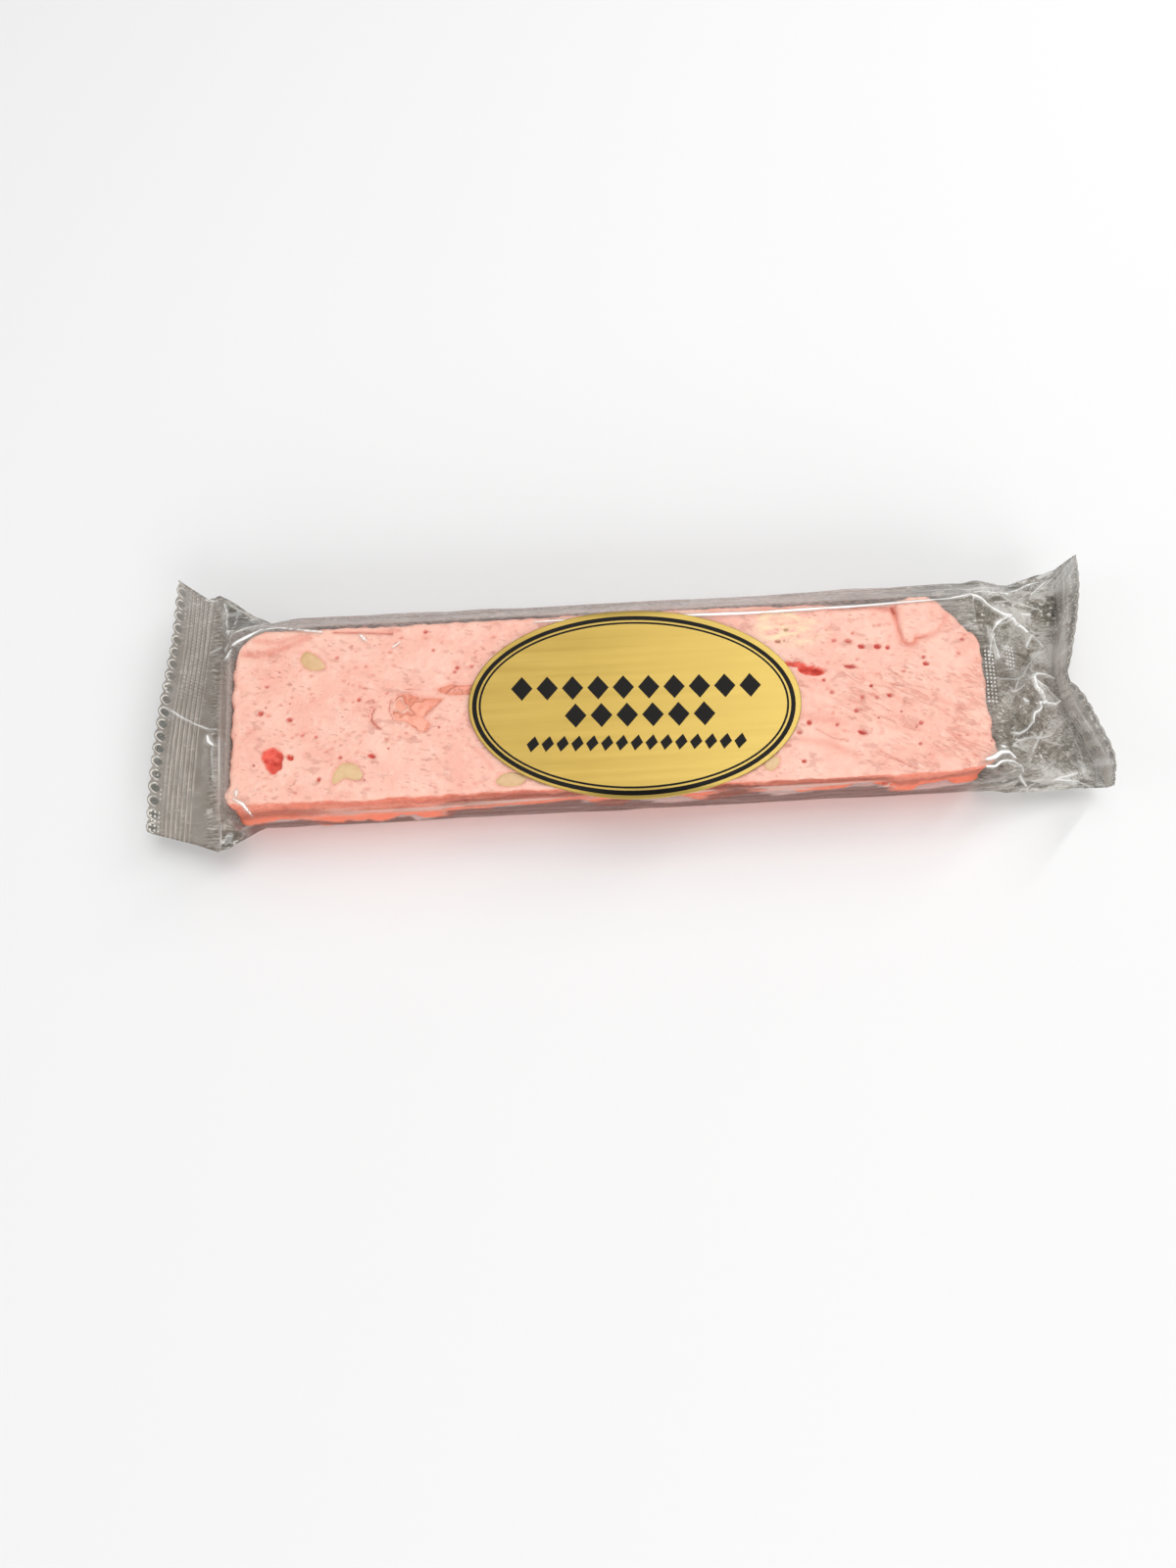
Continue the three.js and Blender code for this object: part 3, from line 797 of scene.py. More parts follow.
def end_lines(body, fold, shoulder, across, shares):
    """Lines across the film from the bar's end to the fold of the seal: level out to the shoulder, a rounded
    bend there, and then straight to the fold. At its side edges the film runs straight all the way."""
    bend_reach = 0.16
    level = ramp(np.minimum(across, 1 - across), 0, 0.16)[:, None]
    corner = body.copy()
    corner[:, 0] = shoulder
    corner = corner * level + (body + fold) / 2 * (1 - level)
    lines = []
    for q in shares:
        first = 0.5 - bend_reach
        if q < first:
            lines.append(body + (corner - body) * 2 * q)
        elif q > 1 - first:
            lines.append(corner + (fold - corner) * (2 * q - 1))
        else:
            t = (q - first) / (2 * bend_reach)
            start = body + (corner - body) * 2 * first
            end = corner + (fold - corner) * 2 * bend_reach
            lines.append(start * (1 - t) ** 2 + 2 * corner * t * (1 - t) + end * t**2)
    return lines


left_seal_rows, neck_only_rows, left_end_rows = 44, 13, 32
right_seal_rows = 40
body_x = np.r_[
    np.linspace(-67, -52, 11)[:-1], np.linspace(-52, -36, 38)[:-1], np.linspace(-36, 70, 48)[:-1],
]


def film_sheet(corners, columns, left_shoulder, right_shoulder):
    """One of the film's two sheets: a grid with a line of points across the film at each place along it."""
    across = (np.arange(columns) + 0.5) / columns
    section = even(corners, across)
    cut, neck, fold = along(left_cut, across), along(left_neck, across), along(left_fold, across)
    start, end = body_line(body_x[0], section), body_line(70.0, section)
    lines = [cut + (neck - cut) * q for q in np.linspace(0, 1, left_seal_rows + 1)[:-1]]
    lines += [neck + (fold - neck) * q for q in np.linspace(0, 1, neck_only_rows + 1)[:-1]]
    lines += end_lines(start, fold, left_shoulder, across, np.linspace(1, 0, left_end_rows + 1)[:-1])
    lines += [body_line(x, section) for x in body_x]
    shares = np.r_[np.linspace(0, 0.3, 7)[:-1], np.linspace(0.3, 1, 76)[:-1]]
    cut, fold = along(right_cut, across), along(right_fold, across)
    lines += end_lines(end, fold, right_shoulder, across, shares)
    lines += [fold + (cut - fold) * q for q in np.linspace(0, 1, right_seal_rows)]
    return np.array(lines), across


upper, upper_across = film_sheet(over_bar, upper_columns, -72.7, 73.6)
lower, lower_across = film_sheet(under_bar, lower_columns, -72.4, 85.0)
film = np.concatenate([upper, lower[:, ::-1]], axis=1)
share_across = np.concatenate([upper_across, lower_across[::-1]])
seal_side = np.where(np.arange(film.shape[1]) < upper_columns, 1.0, -1.0)[None, :]
is_upper = seal_side > 0
rows = len(film)
row = np.arange(rows)[:, None]
neck_rows = left_seal_rows + neck_only_rows
right_seal_row = rows - right_seal_rows
film_normal = grid_normals(film)
film_normal *= np.sign((film_normal[:, :upper_columns, 2]).sum())

# Beside the ends of the bar, the pull of the seals draws the back edge in.
from_back = film_width * (1 - share_across)
drawn_in = np.interp(
    film[..., 0],
    [-76, -71, -67, -62, 30, 50, 70, 73, 78, 82, 84, 86, 90, 95],
    [0, 0.9, 0.8, 0, 0, -0.5, -0.7, -0.3, 0.9, 2.0, 2.1, 1.8, 0.9, 0.5],
)
film[..., 1] -= drawn_in * ramp(from_back, 7, 0)[None, :]

# In the seals both sheets share one direction, in which they lie half the seal's thickness apart and are
# crimped together. Their ridges and studs run along and across the seal.
seal_gap = 0.08
left_seal = ramp(row, neck_rows + 4, neck_rows)
right_seal = ramp(row, right_seal_row - 2, right_seal_row + 1)
seal_direction = np.zeros(film.shape)
seal_direction += left_seal[..., None] * np.array([0, 0, 1.0])
seal_direction += right_seal[..., None] * np.array([-0.94, 0, 0.34])
film += seal_direction * (seal_gap * seal_side)[..., None]
x, y, z = np.moveaxis(film, -1, 0)
from_left_cut = np.linalg.norm(film - along(left_cut, share_across), axis=-1)
from_right_cut = np.linalg.norm(film - along(right_cut, share_across), axis=-1)
from_cut = np.minimum(from_left_cut, from_right_cut)
cut_range = 20.0
width_mm = film_width * share_across
ridge_pitch, ridges_from, ridges_to = 0.98, 3.2, 9.2
edge_stud_pitch, stud_row_pitch, seam_stud_pitch = 1.1, 0.9, 0.8
tooth_pitch = 2.75


def crimp(distance, first, last, pitch):
    """Ridges that run along a seal's edge between two distances from it."""
    zone = ramp(distance, first, first + 0.4) * ramp(distance, last, last - 0.4)
    return zone * np.cos(2 * np.pi * (distance - first) / pitch)


def studs(distance, first, last, pitch):
    """Rows of small studs between two distances from a seal's edge."""
    zone = ramp(distance, first, first + 0.2) * ramp(distance, last, last - 0.2)
    return zone * np.cos(2 * np.pi * distance / pitch) * np.cos(2 * np.pi * width_mm / pitch)


left_crimp = left_seal * (
    0.17 * crimp(from_left_cut, ridges_from, ridges_to, ridge_pitch)
    + 0.13 * studs(from_left_cut, 0.9, 3.4, edge_stud_pitch)
)
right_crimp = right_seal * (
    0.15 * crimp(from_right_cut, 2.4, 8.4, ridge_pitch)
    + 0.12 * studs(from_right_cut, 0.5, 2.4, edge_stud_pitch)
)
tooth = np.abs(np.sin(np.pi * width_mm / tooth_pitch))
left_teeth = ramp(from_left_cut, 1.8, 0) * 0.55 * (1 - tooth) * left_seal
right_teeth = ramp(from_right_cut, 1.6, 0) * 0.45 * (1 - tooth) * right_seal
film += seal_direction * (left_crimp + right_crimp)[..., None]
film[..., 0] += left_teeth
film[..., 2] -= right_teeth


def facets(size, seed):
    """Crumpled film: the corners of a bent lattice of triangles have random heights, and the film is flat
    between three of them. Returns the heights from -1 to 1, a random tone for each triangle, and the distance
    to the nearest crease between two triangles, where that crease shows."""
    sheet = np.stack([x, np.where(is_upper, width_mm, width_mm + 90) + 0 * x], -1)
    drift = 0.32 * np.stack([crumb(film, 1.3 * size, seed + 1), crumb(film, 1.3 * size, seed + 2)], -1)
    turn = np.array([[0.88, 0.47], [-0.47, 0.88]])
    place = sheet @ turn / size + drift
    cell = np.floor(place).astype(int)
    u, v = np.moveaxis(place - cell, -1, 0)
    random = np.random.default_rng(seed)
    heights, tones = random.uniform(-1, 1, (64, 64)), random.uniform(-1, 1, (64, 64, 2))
    i, j = np.moveaxis(cell, -1, 0)
    near, right = heights[i % 64, j % 64], heights[(i + 1) % 64, j % 64]
    above, far = heights[i % 64, (j + 1) % 64], heights[(i + 1) % 64, (j + 1) % 64]
    height = near + np.where(
        u > v, (right - near) * u + (far - right) * v, (above - near) * v + (far - above) * u
    )
    gap = np.stack([u, 1 - u, v, 1 - v, 0.7 * np.abs(u - v)]).min(axis=0) * size
    hidden = ramp(crumb(film, 0.7 * size, seed + 3), 0.5, -0.1)
    return height, tones[i % 64, j % 64, (u > v).astype(int)], gap + 1.5 * hidden


def fan(corner, reach, folds, seed):
    """Folds that spread from a corner of the film, as heights and the lines that they crease on. They are
    random values of the direction from the corner, and fade with the distance from it."""
    angle = np.arctan2(y - corner[1], x - corner[0])
    far = np.hypot(x - corner[0], y - corner[1])
    value = np.abs(crumb(np.stack([angle * folds, far * 0.06, 0 * x], -1), 1.0, seed))
    zone = ramp(far, reach, 0.4 * reach) * ramp(far, 0.3, 2.0)
    return zone * value, far * value / folds, zone


# Where the film is slack, and how it folds there: in facets of three sizes in the crumpled ends, and in long
# folds behind and in front of the bar.
slack_right = ramp(x, 73.5, 77.5) * (1 - right_seal) * ramp(row, right_seal_row, right_seal_row - 12)
slack_fin = right_seal * ramp(from_right_cut, 0.5, 4)
slack_left = ramp(x, -73.2, -74.6) * (1 - left_seal)
loose = (1 - left_seal) * (1 - right_seal)
slack_back = ramp(y, 18.6, 20.5) * loose * ramp(z, 16, 14)
slack_front = ramp(z, 14, 12) * ramp(y, -17.5, -18) * loose
big, big_tone, big_gap = facets(7.5, 41)
mid, mid_tone, mid_gap = facets(3.4, 51)
fine, fine_tone, fine_gap = facets(1.7, 61)
long_folds = np.abs(crumb(film * np.array([0.12, 1.0, 1.0]), 1.5, 44))
folds = slack_right * (1.0 * big + 0.42 * mid + 0.12 * fine)
folds += slack_fin * (0.35 * mid + 0.1 * fine)
folds += slack_left * (0.35 * big + 0.22 * mid + 0.08 * fine)
folds += (slack_back + slack_front) * (0.25 * long_folds + 0.06 * mid)
crumpled = np.maximum(slack_right, np.maximum(0.7 * slack_left, 0.5 * slack_fin))
tone = crumpled * (0.16 + 0.34 * big_tone + 0.36 * mid_tone + 0.2 * fine_tone)

# Painted light and shade on the upper sheet: parts that are clearly darker or paler than their
# surroundings, each as an outline of (x, y) points with its change of tone and the width of its soft edge.
# The palest are painted glows of light.
light_and_shade_patch = np.zeros(x.shape)
light_and_shade_patches = [
    ([(73.0, 22.0), (75.9, 22.0), (77.8, 21.0), (78.4, 20.4), (76.0, 20.1), (74.7, 19.6),
      (72.6, 19.6)], 0.5, 0.3),
    ([(72.1, 18.6), (75.4, 18.3), (79.0, 15.3), (77.9, 13.8), (76.7, 12.5), (71.2, 12.1)], -0.4, 0.4),
    ([(76.0, 18.4), (81.1, 16.5), (82.9, 15.3), (84.3, 14.0), (81.6, 13.5), (80.0, 14.6),
      (78.4, 16.1)], 0.35, 0.3),
    ([(87.4, 20.8), (93.6, 22.0), (94.4, 17.6), (90.9, 15.2), (88.0, 16.6), (86.8, 18.4)], -0.65, 1.2),
    ([(83.7, 18.7), (85.0, 18.7), (87.4, 16.6), (87.1, 15.0), (84.4, 16.6)], 0.9, 0.9),
    ([(85.9, 14.2), (89.6, 14.4), (91.2, 11.0), (90.8, 7.5), (86.5, 7.4), (85.0, 11.6)], 0.5, 1.4),
    ([(77.0, 13.2), (81.6, 13.0), (84.6, 8.0), (81.0, 3.4), (78.4, 4.6), (77.8, 9.0)], 0.22, 1.0),
    ([(75.9, 19.9), (80.8, 19.5), (86.3, 18.0), (88.5, 17.4), (85.3, 17.1), (83.0, 17.9), (81.1, 17.1),
      (78.1, 18.1)], -0.6, 0.3),
    ([(81.7, 17.2), (83.4, 17.6), (84.9, 16.6), (86.0, 14.4), (84.8, 13.8), (83.2, 15.5)], 2.2, 0.6),
    ([(74.8, 12.2), (76.3, 12.1), (76.4, 10.7), (76.0, 9.0), (76.6, 6.2), (76.6, 5.0), (75.4, 5.1),
      (75.1, 7.3), (74.7, 9.8)], 0.9, 0.3),
    ([(88.9, 7.4), (90.6, 11.4), (91.7, 11.3), (91.2, 7.3), (89.8, 6.1)], 0.6, 0.6),
    ([(84.2, 2.9), (84.9, 0.5), (85.5, -1.1), (85.6, -2.3), (88.6, -2.3), (87.0, 0.2),
      (85.7, 2.2)], 1.6, 0.5),
    ([(85.9, 10.4), (91.7, 11.1), (91.6, 5.0), (88.0, 3.2), (84.9, 4.3)], 0.2, 0.8),
    ([(75.0, -5.4), (82.6, -6.8), (80.1, -13.4), (74.7, -13.1)], -0.4, 1.0),
    ([(81.9, -15.8), (92.4, -16.3), (95.6, -18.9), (84.8, -17.8)], 0.4, 0.4),
    ([(-76.6, -13.2), (-70.6, -18.4), (-70.8, -22.6), (-75.7, -23.5)], -0.8, 0.6),
    ([(-75.7, 27.0), (-73.7, 26.6), (-69.3, 22.8), (-71.4, 20.8), (-73.2, 18.6), (-74.3, 18.0),
      (-75.2, 21.0)], -1.5, 0.3),
]
for corners, shift, blur in light_and_shade_patches:
    inward = line_distance(x, y, corners, closed=True) * np.where(inside(x, y, corners), 1, -1)
    light_and_shade_patch += shift * ramp(inward, -blur, blur) * is_upper * (1 - left_seal)
# Beside the bar's left end the steep upper sheet is painted paler, with a pale painted reflection as well:
# painted light on a slope that the lamps light only dimly.
beside_ends = ramp(x, -77.4, -75.8) * ramp(x, -71.6, -72.4) * ramp(y, 18, 8) * ramp(y, -22, -12) * is_upper
light_and_shade_patch += beside_ends * (0.75 + 0.3 * crumb(film * np.array([1, 0.06, 0.06]), 0.7, 47))
beside_cut = np.stack([from_right_cut, 0.06 * width_mm + 0 * x, 0 * x], -1)
drawn_out = crumb(film * np.array([0.06, 1.3, 1.3]), 1.1, 48)
tone += (
    light_and_shade_patch + right_seal * (0.25 + 0.45 * crumb(beside_cut, 0.8, 57)) + 0.2 * left_seal
    + (slack_back + slack_front) * (0.15 + 0.9 * drawn_out + 0.2 * mid_tone)
)

# The creases between facets are drawn as fine white lines, painted highlights, and so are the long folds,
# except right in front of the nougat. More folds spread like fans from three corners of the film, with
# painted highlights on their creases too.
in_front = ramp(y, -16.4, -17.4) * ramp(x, -74, -70) * ramp(x, 76, 68)
film_highlight_lines = LineField(x.shape)
film_highlight_lines.add(big_gap, 0.16, 0.6, slack_right)
film_highlight_lines.add(mid_gap, 0.12, 0.42, np.maximum(slack_right, np.maximum(0.6 * slack_left, slack_fin)))
film_highlight_lines.add(fine_gap, 0.09, 0.26, slack_right)
film_highlight_lines.add(1.2 * long_folds, 0.1, 0.3, np.minimum(1, slack_back + slack_front) * (1 - in_front))
fans = [((95.5, -20.5), 15, 9, 71, 0.6), ((95.8, 28.0), 11, 8, 73, 0.6), ((-76, -23.5), 8, 6, 74, 0.25)]
for corner, reach, count, seed, bright in fans:
    spread, spread_gap, spread_zone = fan(corner, reach, count, seed)
    folds += 0.5 * spread * loose
    film_highlight_lines.add(spread_gap, 0.12, bright, spread_zone * is_upper * (1 - left_seal))

# The sharp creases, each as (x, y) points with its height, its width and its brightness. They are folds of
# the upper sheet, drawn as white lines that are painted highlights and in part the whitening of creased film.
sharp_creases = [
    ([(-14.6, 17.2), (4.6, 17.2), (27.6, 16.8), (48.8, 17.1), (62.0, 17.6), (69.4, 17.9)], 0.0, 0.26, 0.95),
    ([(69.4, 17.9), (72.4, 18.6), (74.4, 17.9), (76.3, 16.9), (80.0, 15.2), (82.8, 13.8)], 0.3, 0.26, 1.0),
    ([(80.4, 15.3), (82.8, 14.2), (85.0, 13.6), (85.9, 13.1)], 0.5, 0.5, 1.0),
    ([(86.0, 13.2), (87.8, 12.6), (88.8, 11.3), (89.2, 9.8)], 0.3, 0.24, 0.6),
    ([(73.5, 19.3), (75.9, 20.0), (79.1, 20.2), (82.3, 21.2), (85.5, 22.9), (87.6, 24.1),
      (90.6, 24.8)], 0.3, 0.22, 0.8),
    ([(79.4, 20.1), (82.5, 19.6), (86.1, 18.6), (88.9, 18.2)], 0.3, 0.2, 0.6),
    ([(76.0, 21.4), (79.4, 21.6), (82.6, 23.2), (86.4, 25.2)], 0.2, 0.2, 0.4),
    ([(81.4, 15.6), (79.2, 14.2), (77.6, 12.8), (76.4, 11.2), (76.3, 10.4)], 0.3, 0.22, 0.8),
    ([(76.3, 10.4), (74.9, 7.7), (74.2, 5.2)], 0.2, 0.22, 0.65),
    ([(76.3, 10.4), (76.6, 7.6), (76.8, 5.8), (76.0, 6.4)], 0.3, 0.3, 0.75),
    ([(88.0, 21.7), (90.3, 23.6), (92.3, 25.2)], 0.3, 0.22, 0.75),
    ([(88.1, 22.5), (89.0, 24.1)], 0.1, 0.2, 0.5),
    ([(84.6, 16.6), (85.9, 16.6), (87.1, 16.9)], 0.2, 0.3, 0.9),
    ([(87.4, 12.8), (86.3, 11.1), (85.1, 9.7)], 0.2, 0.24, 0.75),
    ([(89.4, 9.8), (86.6, 7.9), (84.6, 5.7), (82.5, 3.0), (80.9, 2.1), (78.9, 1.3), (76.4, 0.9),
      (73.4, 0.9)], 0.3, 0.2, 0.5),
    ([(84.2, 3.3), (86.2, 4.1), (88.2, 4.4), (89.3, 3.9), (90.4, 3.6)], 0.5, 0.26, 0.95),
    ([(84.3, 3.6), (85.1, 1.3), (85.9, -0.7), (85.9, -2.5)], 0.5, 0.34, 1.0),
    ([(84.4, 3.1), (87.2, 1.2), (88.1, -0.1), (89.7, -1.7)], 0.5, 0.26, 0.9),
    ([(90.0, -1.5), (88.6, -2.4), (86.2, -2.4), (84.3, -2.8), (84.7, -3.8), (84.0, -4.5), (82.6, -5.2),
      (82.2, -7.1)], 0.5, 0.32, 0.95),
    ([(82.2, -7.1), (80.5, -8.8), (78.9, -9.7), (76.5, -10.0)], 0.3, 0.24, 0.7),
    ([(73.4, -13.0), (74.6, -13.1)], 0.1, 0.26, 0.9),
    ([(70.1, -15.6), (71.8, -15.2), (73.1, -14.3), (75.2, -14.0), (76.4, -15.0)], 0.4, 0.42, 1.0),
    ([(68.9, -16.9), (71.6, -17.0), (72.9, -16.1), (74.3, -15.8), (75.7, -15.8),
      (76.9, -16.7)], 0.3, 0.26, 1.0),
    ([(76.9, -16.7), (78.6, -17.9), (80.4, -18.8)], 0.3, 0.22, 0.7),
    ([(85.8, -17.9), (88.2, -17.2), (91.2, -16.4)], 0.3, 0.22, 0.8),
    ([(86.8, -17.7), (91.4, -18.0), (94.2, -19.1)], 0.3, 0.22, 0.8),
    ([(82.5, -13.3), (83.4, -15.3)], 0.2, 0.22, 0.8),
    ([(80.8, -2.3), (82.2, -2.7)], 0.2, 0.4, 0.75),
    ([(90.7, -5.1), (92.0, -9.2), (92.6, -12.4), (93.1, -16.3)], 0.2, 0.24, 0.45),
    ([(-72.3, 15.5), (-69.6, 16.9), (-67.0, 18.3)], 0.2, 0.34, 0.9),
    ([(-67.0, 18.3), (-64.6, 19.0), (-62.6, 18.8), (-59.0, 17.9), (-54.4, 17.2)], 0.1, 0.3, 0.85),
    ([(-72.9, 17.5), (-71.3, 18.3), (-69.0, 20.0), (-66.6, 21.5)], 0.3, 0.24, 0.7),
    ([(-74.7, 14.0), (-73.4, 13.6), (-72.3, 14.6)], 0.3, 0.26, 0.95),
    ([(-76.7, 28.3), (-75.8, 25.5), (-75.4, 23.0), (-74.5, 20.6), (-73.9, 19.0)], 0.3, 0.2, 0.75),
    ([(-73.9, 26.4), (-73.4, 22.9), (-72.9, 18.1)], 0.2, 0.16, 0.35),
    ([(-75.8, 28.0), (-73.0, 26.0)], 0.2, 0.2, 0.4),
    ([(-74.9, 14.6), (-74.1, 13.7), (-73.2, 13.7), (-72.4, 14.5)], 0.2, 0.2, 1.0),
    ([(-74.9, 16.9), (-74.7, 15.9), (-73.9, 16.1), (-73.8, 16.7)], 0.2, 0.2, 1.0),
    ([(-74.6, 19.4), (-73.9, 19.7), (-73.4, 19.3), (-73.7, 18.6), (-74.3, 18.2)], 0.2, 0.2, 0.9),
    ([(-71.0, -15.6), (-69.2, -16.8), (-68.0, -18.3)], 0.1, 0.26, 0.95),
    ([(-70.4, -14.0), (-70.5, -15.2)], 0.0, 0.42, 0.8),
    ([(-76.6, 0.9), (-76.3, -5.0), (-76.0, -13.8), (-75.3, -16.4), (-75.5, -20.6),
      (-75.8, -23.4)], 0.2, 0.14, 0.75),
    ([(-47.6, 16.4), (-46.4, 15.0)], 0.0, 0.24, 0.9),
    ([(-41.4, 13.2), (-39.6, 14.4)], 0.0, 0.2, 0.7),
]

# A crease is wider at some places than at others.
swell = 0.9 + 0.45 * crumb(film, 1.5, 53)


def taper(share):
    """The thickness of a crease along its length: half at its ends and full in its middle."""
    return 0.5 + 0.5 * np.sin(np.pi * np.clip(share, 0, 1)) ** 0.5


for corners, lift, width, bright in sharp_creases:
    distance, share = nearest_on_line(x, y, corners)
    folds += lift * np.exp(-((distance / width) ** 2)) * is_upper * (1 - right_seal)
    film_highlight_lines.add(distance, width * swell * taper(share), bright, is_upper * (1 - right_seal))

# Creases of the left seal, each as (x, y) points with its width and its brightness, drawn as white lines:
# painted highlights.
seal_creases = [
    ([(-87.9, 6.3), (-85.9, 5.3), (-84.3, 4.0), (-81.0, 2.1), (-78.5, 1.0), (-76.9, 0.9)], 0.17, 0.8),
    ([(-78.8, -0.2), (-78.5, -1.5), (-77.6, -2.3)], 0.26, 1.0), ([(-77.9, -2.6), (-77.4, -9.6)], 0.16, 0.5),
    ([(-79.2, 17.3), (-77.3, 18.3), (-75.7, 18.9)], 0.18, 0.6), ([(-80.8, 29.4), (-77.8, 28.8)], 0.2, 0.7),
]
for corners, width, bright in seal_creases:
    distance, share = nearest_on_line(x, y, corners)
    folds += 0.2 * np.exp(-((distance / width) ** 2)) * left_seal * seal_side
    film_highlight_lines.add(distance, width * swell * taper(share), bright, left_seal * is_upper)

# Creases and glints of the standing seal, as places across the film and distances from its cut edge, drawn
# as white lines: painted highlights.
fin_creases = [
    ([(19, 6.4), (10, 4.6), (2, 2.4)], 0.17, 0.6), ([(20, 4.2), (10, 3.0), (1, 1.3)], 0.15, 0.5),
    ([(52, 3.6), (44, 4.0), (34, 4.6)], 0.17, 0.5), ([(53, 5.0), (42, 5.6), (30, 6.6)], 0.15, 0.45),
    ([(41, 7.4), (44, 4.4), (45.4, 1.2)], 0.15, 0.65), ([(30, 8.0), (36, 4.2), (37.4, 1.4)], 0.14, 0.45),
]
fin_glints = [
    (16, 1.8), (13.8, 1.5), (11.6, 2.0), (10.9, 1.1), (8.4, 2.1), (5.4, 1.3), (4.6, 2.3), (2.2, 1.5),
]
fin_creases += [([(place, gap), (place - 0.7, gap)], 0.22, 0.95) for place, gap in fin_glints]
fin_creases += [([(51.6 - 0.95 * k, 2.8), (51.3 - 0.95 * k, 2.8)], 0.24, 0.95) for k in range(5)]
for corners, width, bright in fin_creases:
    distance = line_distance(width_mm + 0 * x, from_right_cut, corners)
    film_highlight_lines.add(distance, width, bright, right_seal * is_upper)

folds *= ramp(row, 0, 4) * ramp(row, rows - 1, rows - 5)
film += film_normal * folds[..., None]
lowest_film = 0.06
film[..., 2] = np.maximum(film[..., 2], lowest_film)

# How dark the film looks. It is clear where the bar fills it and grey where it is slack, mostly on the lower
# sheet. In front, it is clear down to the bar's foot and painted brown below: painted shade of the film under
# the bar, with a painted reflection of the nougat in it. The left seal has a faint brown tint. Painted
# reflections lie on the film over the nougat's front side, on film behind the bar, which mirrors it, and
# beside the bar's left end, where painted light also makes the steep film pale.
over_nougat = ramp(x, -73.0, -72.2) * ramp(x, 73.4, 72.6) * ramp(y, 18.9, 18.2)
corner_cut = ramp(x + 0.8 * (y - 8), 75.0, 73.0)
over_nougat *= np.where(x > 60, np.minimum(1, corner_cut), 1)
foot_height = np.interp(
    x,
    [-72, -66, -59, -55, -52.4, -50.6, -48, -47, -44.6, -42.4, -39, -38, -35.5, -33.5, -31.4, -28, -19,
     -11.7, -8, -4.2, 1.5, 6.2, 8.8, 12.6, 17.2, 18.2, 24.2, 28.6, 31.8, 44, 51, 55, 60, 66, 72],
    [9.0, 10.6, 11.4, 9.4, 8.6, 9.8, 8.6, 9.4, 8.4, 9.4, 9.8, 8.0, 8.2, 9.0, 11.2, 12.0, 12.1, 12.9, 14.0,
     12.3, 13.2, 11.9, 10.3, 9.9, 10.7, 12.9, 14.9, 11.9, 10.7, 12.8, 12.8, 9.6, 10.2, 11.4, 12.8],
)
foot_height += 0.35 * crumb(film * np.array([1.0, 0.1, 0.1]), 0.9, 46)
over_nougat *= np.where(is_upper & (y < 0), ramp(z - foot_height, -0.7, 0.5), 1.0)
on_seam = ramp(y, -3.4, -2.6) * ramp(y, 11.4, 10.6) * ramp(x, 72, 73) * ramp(x, 86, 84) * (1 - right_seal)

# The studs of the lengthwise seam that show through the film in front of the standing seal, drawn as bright
# dots on the upper sheet: painted glints of the studs. A few clear columns lie beside the bar, and fainter
# ones beyond. The columns lean a little.
column_lean = 0.08
column = x - column_lean * (y - 5)
first_columns = ramp(column, 72.3, 72.7) * ramp(column, 75.6, 75.2) * ramp(y, -4.6, -4.3) * ramp(y, 7.2, 6.9)
more_columns = ramp(column, 75.4, 76.0) * ramp(column, 81.4, 80.4) * ramp(y, 1.4, 2.4) * ramp(y, 9.6, 8.6)
stud_glints = np.maximum(0.3, ramp(column, 78.0, 79.0) * ramp(y, 3.4, 4.4))
knurl_glints = np.maximum(first_columns * (0.9 + 0.3 * crumb(film, 2.0, 49)), stud_glints * more_columns)
knurl_glints = is_upper * knurl_glints + 0.25 * on_seam * ~is_upper

light_and_shade_cover = np.minimum(0.28, 0.5 * np.abs(light_and_shade_patch))
grey = (1 - over_nougat) * np.where(is_upper, 0.72 - 0.15 * on_seam + light_and_shade_cover, 1.0)
tone += 0.3 * on_seam * ~is_upper - 0.4 * first_columns * is_upper
front_shade_and_reflection = (1 - over_nougat) * ramp(y, -16, -17.2) * ramp(x, -73, -69) * ramp(x, 76, 66) * loose
mirrored = (1 - over_nougat) * ramp(y, 18, 19) * ramp(x, -70, -60) * ramp(x, 66, 50) * loose
brown_shade_and_tint = np.maximum(front_shade_and_reflection, 0.22 * left_seal)
painted_reflection = 0.9 * ramp(z - np.maximum(foot_height, 10.4), 0.6, 1.4) * ramp(z, 15.0, 14.4) * ramp(y, -17.0, -17.8)
painted_reflection *= ramp(x, -62, -44) * ramp(x, 52, 48) * ramp(crumb(film * np.array([0.09, 1, 1.4]), 1.3, 45), -0.6, 0.2)
painted_reflection = np.maximum(painted_reflection, 0.5 * beside_ends)
painted_reflection = np.maximum(painted_reflection, 0.4 * mirrored * is_upper)
from_fold = film_width * np.minimum(share_across, 1 - share_across)
rim_shade = ramp(from_fold, 0.8, 0.15) * (1 - over_nougat)
tone -= 0.3 * rim_shade


def stripes(value, pitch, share):
    """1 on lines that return after every pitch of a value. A line fills the given share of the pitch."""
    middle = abs((value / pitch).fraction() - 0.5) * 2.0
    return middle.between(1 - share, 1 - 0.4 * share)


